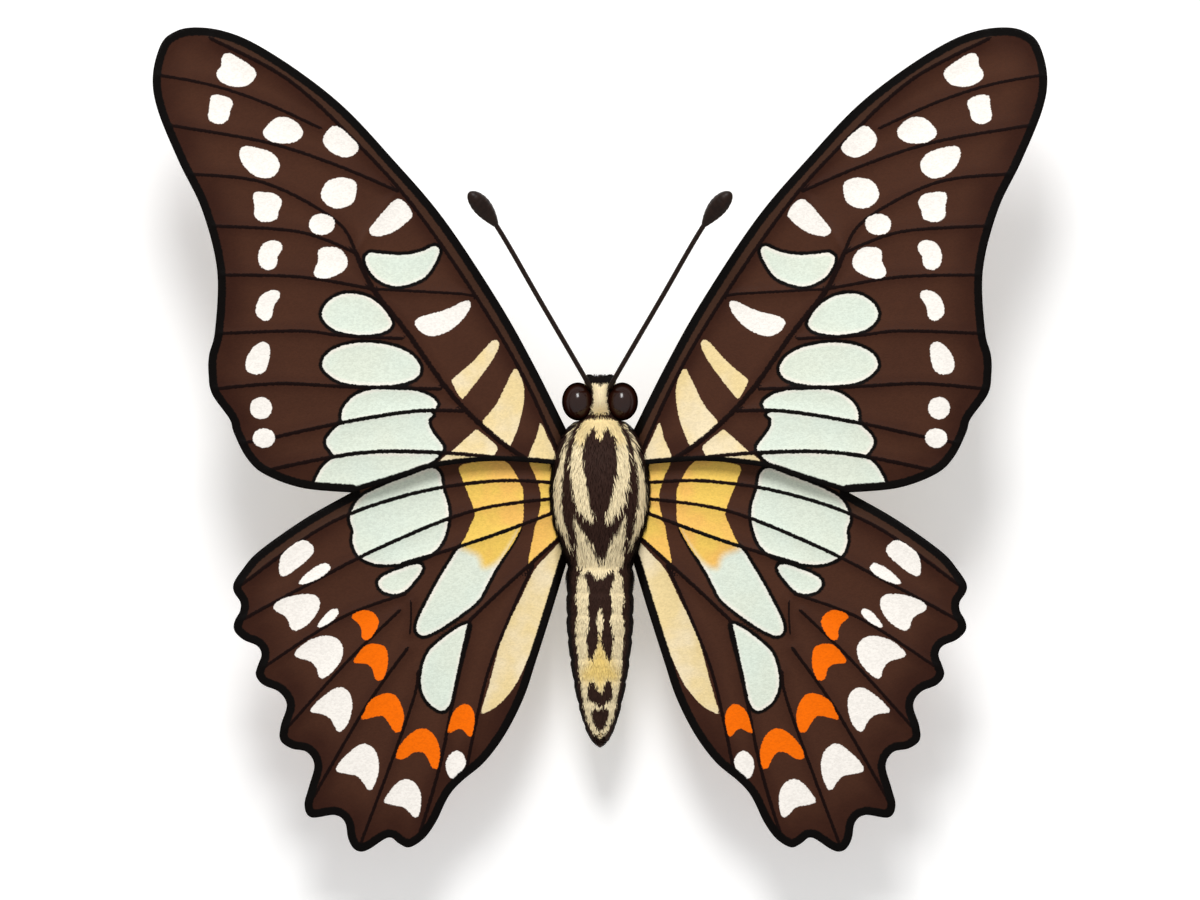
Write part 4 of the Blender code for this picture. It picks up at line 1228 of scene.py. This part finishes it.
def make_antennae():
    """Both feelers, straight and rising, from the crown to the clubs."""
    first = ANTENNA_FIRST[:2]
    bend, tip = plan([(496, 225), (469, 192)])
    corners = [ANTENNA_ROOT]
    for place in (first, (first + bend) / 2, bend, tip):
        rise = np.linalg.norm(place - first) * ANTENNA_RISE
        corners.append(np.array([*place, ANTENNA_FIRST[2] + rise]))
    path = curve(corners, 0.06 * MM)
    steps = np.linalg.norm(np.diff(path, axis=0), axis=1)
    length = np.concatenate([[0], np.cumsum(steps)])
    share = np.clip(1 - (length[-1] - length) / CLUB_LENGTH, 0, 1)
    club = np.sin(np.pi * share ** 1.25) ** 0.7
    radii = STEM_RADIUS + CLUB_SWELL * club
    joint = length / length[-1] * JOINTS % 1
    radii = radii * (0.95 + 0.05 * np.sin(np.pi * joint) ** 0.5)
    material = cuticle_material("feeler_cuticle", FEELER_BROWN, 0.42, 0.3)
    place_pair("feeler", limb("feeler_right", path, radii, 14, 0.85), material, "cuticle", "antenna")
    print("feeler length, mm:", round(length[-1] / MM, 1))


make_antennae()


# %% Palps with their hair
PALP_STEM = np.array([(0.7, 3.75, 5.2), (0.8, 4.25, 4.8), (0.84, 4.6, 5.3), (0.8, 4.72, 6.1),
                      (0.74, 4.64, 6.8), (0.66, 4.5, 7.3)]) * MM
PALP_HAIRS = 1300


def make_palps():
    """Both palps, dark in front and pale below."""
    rng = np.random.default_rng(21)
    stem = curve(PALP_STEM, 0.1 * MM)
    share = np.linspace(0, 1, len(stem))
    radii = (0.25 - 0.1 * share ** 3) * MM
    right = limb("palp_skin_right", stem, radii, 16)
    heading = unit(np.gradient(stem, axis=0))
    count = PALP_HAIRS
    pick = rng.integers(2, len(stem) - 1, count)
    angle = rng.uniform(0, 2 * np.pi, count)
    across = unit(np.cross(heading[pick], [1.0, 0, 0]))
    outward = (across * np.cos(angle)[:, None]
               + np.cross(heading[pick], across) * np.sin(angle)[:, None])
    root = stem[pick] + outward * radii[pick][:, None] * 0.95
    lean = unit(heading[pick] + outward * 0.3)
    shares = np.stack([angle / (2 * np.pi), pick / len(stem)], 1)
    pale = (np.sin(angle) < -0.3) & (pick < len(stem) * 0.4)
    fields = {"cream": np.where(pale, 0.6, -1.0), "yellow": np.full(count, -9.0),
              "rise": np.where(pale, 1.0, 0.0)}
    lengths = rng.uniform(0.25, 0.42, count) * MM
    fur = bpy.data.materials["body_fur"]
    skin = fur_material("palp_skin", False)
    for key, value in (("cream", -1.0), ("yellow", -9.0), ("rise", 0.0)):
        store(right, key, np.full(len(right.vertices), value))
    for word, data in (("right", right), ("left", mirrored(right, "palp_skin_left"))):
        place_piece(f"palp_skin_{word}", data, skin, "body_hair", f"palp_{word}")
        turn = np.array([SIDES[word], 1, 1])
        hair = tuft_mesh(f"palp_hair_{word}", root * turn, outward * turn, lean * turn, lengths,
                         np.full(count, 0.08 * MM), 0.3, shares, fields, rng)
        place_piece(f"palp_hair_{word}", hair, fur, "body_hair")
    print("palp hairs on each side:", count)


make_palps()

# %% The coiled tongue
TONGUE_BROWN = screen("3A2418")
TONGUE_ROOT = np.array([0, 3.55, 5.4]) * MM
COIL_Y, COIL_Z = 3.7 * MM, 3.55 * MM
COIL_RADIUS, COIL_PITCH, COIL_TURNS = 1.3 * MM, 0.46 * MM, 2.2


def make_tongue():
    """The tongue, from the mouth round its coil."""
    turns = np.linspace(0, COIL_TURNS, 150)
    radius = COIL_RADIUS - COIL_PITCH * turns
    turn = math.radians(65) - 2 * np.pi * turns
    coil = np.stack([0 * turns, COIL_Y + radius * np.cos(turn), COIL_Z + radius * np.sin(turn)], 1)
    path = curve(np.vstack([TONGUE_ROOT, coil]), 0.08 * MM)
    material = cuticle_material("tongue_cuticle", TONGUE_BROWN, 0.35, 0.5)
    radii = np.linspace(0.2, 0.12, len(path)) * MM
    place_piece("tongue", limb("tongue", path, radii, 12), material, "cuticle", "proboscis")
    print("turns of the tongue:", COIL_TURNS)


make_tongue()

# %% [markdown]
# ## Legs
# Each leg has a broad coxa at the body, a thigh, a shin with a pair of spurs, and a foot of five
# short joints that ends in two claws. The knees are raised and the feet lie flat on the floor.

# %% The legs
LEGS = {
    "fore": {"root": (1.0, 1.1, 5.3), "hip": (1.75, 0.35, 3.5), "knee": (5.2, 1.0, 5.5),
             "ankle": (6.9, 3.4, 0.5), "foot": (9.6, 7.2)},
    "mid": {"root": (1.6, -2.6, 4.7), "hip": (2.5, -2.8, 3.0), "knee": (6.8, -3.2, 5.9),
            "ankle": (8.9, -4.0, 0.5), "foot": (13.3, -6.2)},
    "hind": {"root": (1.6, -6.0, 4.7), "hip": (2.3, -6.9, 3.0), "knee": (5.8, -11.0, 5.9),
             "ankle": (7.6, -15.2, 0.5), "foot": (9.7, -19.9)},
}
LEG_BROWN = screen("35221A")
LEG_RADII = (0.5, 0.5, 0.34, 0.26, 0.34, 0.22, 0.2, 0.21, 0.21, 0.16, 0.15, 0.15, 0.14, 0.12)
FOOT_JOINTS = (0.42, 0.6, 0.74, 0.86)
SHIN_END = 0.96


def spine(mesh, base, tip, radius):
    """A sharp cone from a base to a tip."""
    base, tip = Vector(base), Vector(tip)
    made = bmesh.ops.create_cone(mesh, cap_ends=True, segments=6, radius1=radius, radius2=radius * 0.1,
                                 depth=(tip - base).length)["verts"]
    turn = (tip - base).to_track_quat("Z", "Y").to_matrix()
    bmesh.ops.rotate(mesh, cent=(0, 0, 0), matrix=turn, verts=made)
    bmesh.ops.translate(mesh, vec=(base + tip) / 2, verts=made)


def leg_mesh(pair):
    """One right leg with its spurs, bristles and claws."""
    leg = LEGS[pair]
    root, hip, knee, ankle = (np.array(leg[key]) * MM for key in ("root", "hip", "knee", "ankle"))
    foot = np.array([*leg["foot"], 0.14]) * MM
    ahead = unit(np.array([[*(foot - ankle)[:2], 0]]))[0]
    heel = np.array([ankle[0], ankle[1], 0.15 * MM]) + ahead * 0.8 * MM
    parts = [root, root + (hip - root) * 0.5, root + (hip - root) * 0.9, hip + (knee - hip) * 0.1,
             hip + (knee - hip) * 0.5, hip + (knee - hip) * 0.95, knee + (ankle - knee) * 0.05,
             knee + (ankle - knee) * 0.5, knee + (ankle - knee) * SHIN_END, heel]
    parts += [heel + (foot - heel) * share for share in (0.25, 0.5, 0.75, 1.0)]
    dense = curve(np.column_stack([np.array(parts), np.array(LEG_RADII) * MM]), 0.05 * MM)
    path, radii = dense[:, :3], dense[:, 3]
    from_heel = np.linalg.norm((path - heel)[:, :2], axis=1)
    on_foot = np.clip(from_heel / np.linalg.norm((foot - heel)[:2]), 0, 1)
    past_heel = (path - heel) @ ahead > 0
    for joint in FOOT_JOINTS:
        radii = radii * (1 - 0.3 * np.exp(-((on_foot - joint) / 0.015) ** 2) * past_heel)
    mesh = bmesh.new()
    rolled(mesh, 14, len(path) - 1, tube_place(path, radii))
    across = np.array([-ahead[1], ahead[0], 0])
    down = np.array([0, 0, -1])
    shin_end = knee + (ankle - knee) * SHIN_END
    for way in (-1, 1):
        out = across * way
        spur = (ahead * 0.55 + out * 0.25 + down * 0.12) * MM
        spine(mesh, shin_end, shin_end + spur, 0.06 * MM)
        claw = foot + out * 0.06 * MM
        spine(mesh, claw, claw + (ahead * 0.32 + out * 0.12 + down * 0.1) * MM, 0.05 * MM)
        for share in np.linspace(0.08, 0.95, 12):
            base = heel + (foot - heel) * share + out * 0.1 * MM
            spine(mesh, base, base + (ahead * 0.16 + out * 0.09 + down * 0.06) * MM, 0.02 * MM)
    for vert in mesh.verts:
        vert.co.z = max(vert.co.z, 0)
    return closed_mesh(f"walking_leg_{pair}_right", mesh)


def make_legs():
    """Three pairs of legs."""
    material = cuticle_material("leg_cuticle", LEG_BROWN, 0.5, 0.4)
    for pair in LEGS:
        place_pair(f"walking_leg_{pair}", leg_mesh(pair), material, "cuticle", f"leg_{pair}")
    print("six legs placed")


make_legs()

# %% [markdown]
# ## Floor, light and camera
# A plain pale floor, a bright even surround and one soft lamp in front of the head, whose mirror
# image is the white glint on each eye. The picture is flat, so the camera is orthographic and looks
# straight down with the butterfly's head at the top.

# %% Studio
WHITE_LIGHT = (1, 1, 1, 1)
FLOOR_COLOUR, FLOOR_GLOW = (0.97, 0.97, 0.965, 1), 0.22
SURROUND = 0.55
LAMP_SIZES, LAMP_WATTS, LAMP_PLACE = (0.17, 0.24), 2.3, (-0.03, 0.4, 0.445)
FRAME_WIDTH, FRAME_MIDDLE = 1200, 450


def show(name, data):
    """Put a floor, lamp or camera in the scene."""
    thing = bpy.data.objects.new(name, data)
    bpy.context.scene.collection.objects.link(thing)
    return thing


def make_studio():
    """The floor, the light and the overhead camera."""
    mesh = bmesh.new()
    bmesh.ops.create_grid(mesh, x_segments=1, y_segments=1, size=1.5)
    data = bpy.data.meshes.new("floor")
    mesh.to_mesh(data)
    mesh.free()
    material, nodes, shader = new_material("floor_white")
    shader.inputs["Base Color"].default_value = FLOOR_COLOUR
    shader.inputs["Roughness"].default_value = 0.9
    shader.inputs["Emission Color"].default_value = WHITE_LIGHT
    shader.inputs["Emission Strength"].default_value = FLOOR_GLOW
    data.materials.append(material)
    floor = show("floor", data)

    world = bpy.data.worlds.new("surround")
    bpy.context.scene.world = world
    world.use_nodes = True
    background = world.node_tree.nodes["Background"]
    background.inputs["Color"].default_value = WHITE_LIGHT
    background.inputs["Strength"].default_value = SURROUND

    lamp = bpy.data.lights.new("key", "AREA")
    lamp.shape = "RECTANGLE"
    lamp.size, lamp.size_y = LAMP_SIZES
    lamp.energy = LAMP_WATTS
    stand = show("key", lamp)
    stand.location = LAMP_PLACE
    stand.rotation_euler = (-stand.location).to_track_quat("-Z", "Y").to_euler()

    camera = bpy.data.cameras.new("overhead")
    camera.type = "ORTHO"
    camera.ortho_scale = FRAME_WIDTH * PIXEL
    camera.clip_start, camera.clip_end = 0.01, 2
    stand = show("overhead", camera)
    stand.location = (0, (CENTRE_PIXEL - FRAME_MIDDLE) * PIXEL, 0.5)
    bpy.context.scene.camera = stand
    bpy.context.scene.view_settings.view_transform = "Standard"
    print("lamp at", LAMP_PLACE, "and view", round(FRAME_WIDTH * PIXEL / MM, 1), "mm wide")


make_studio()
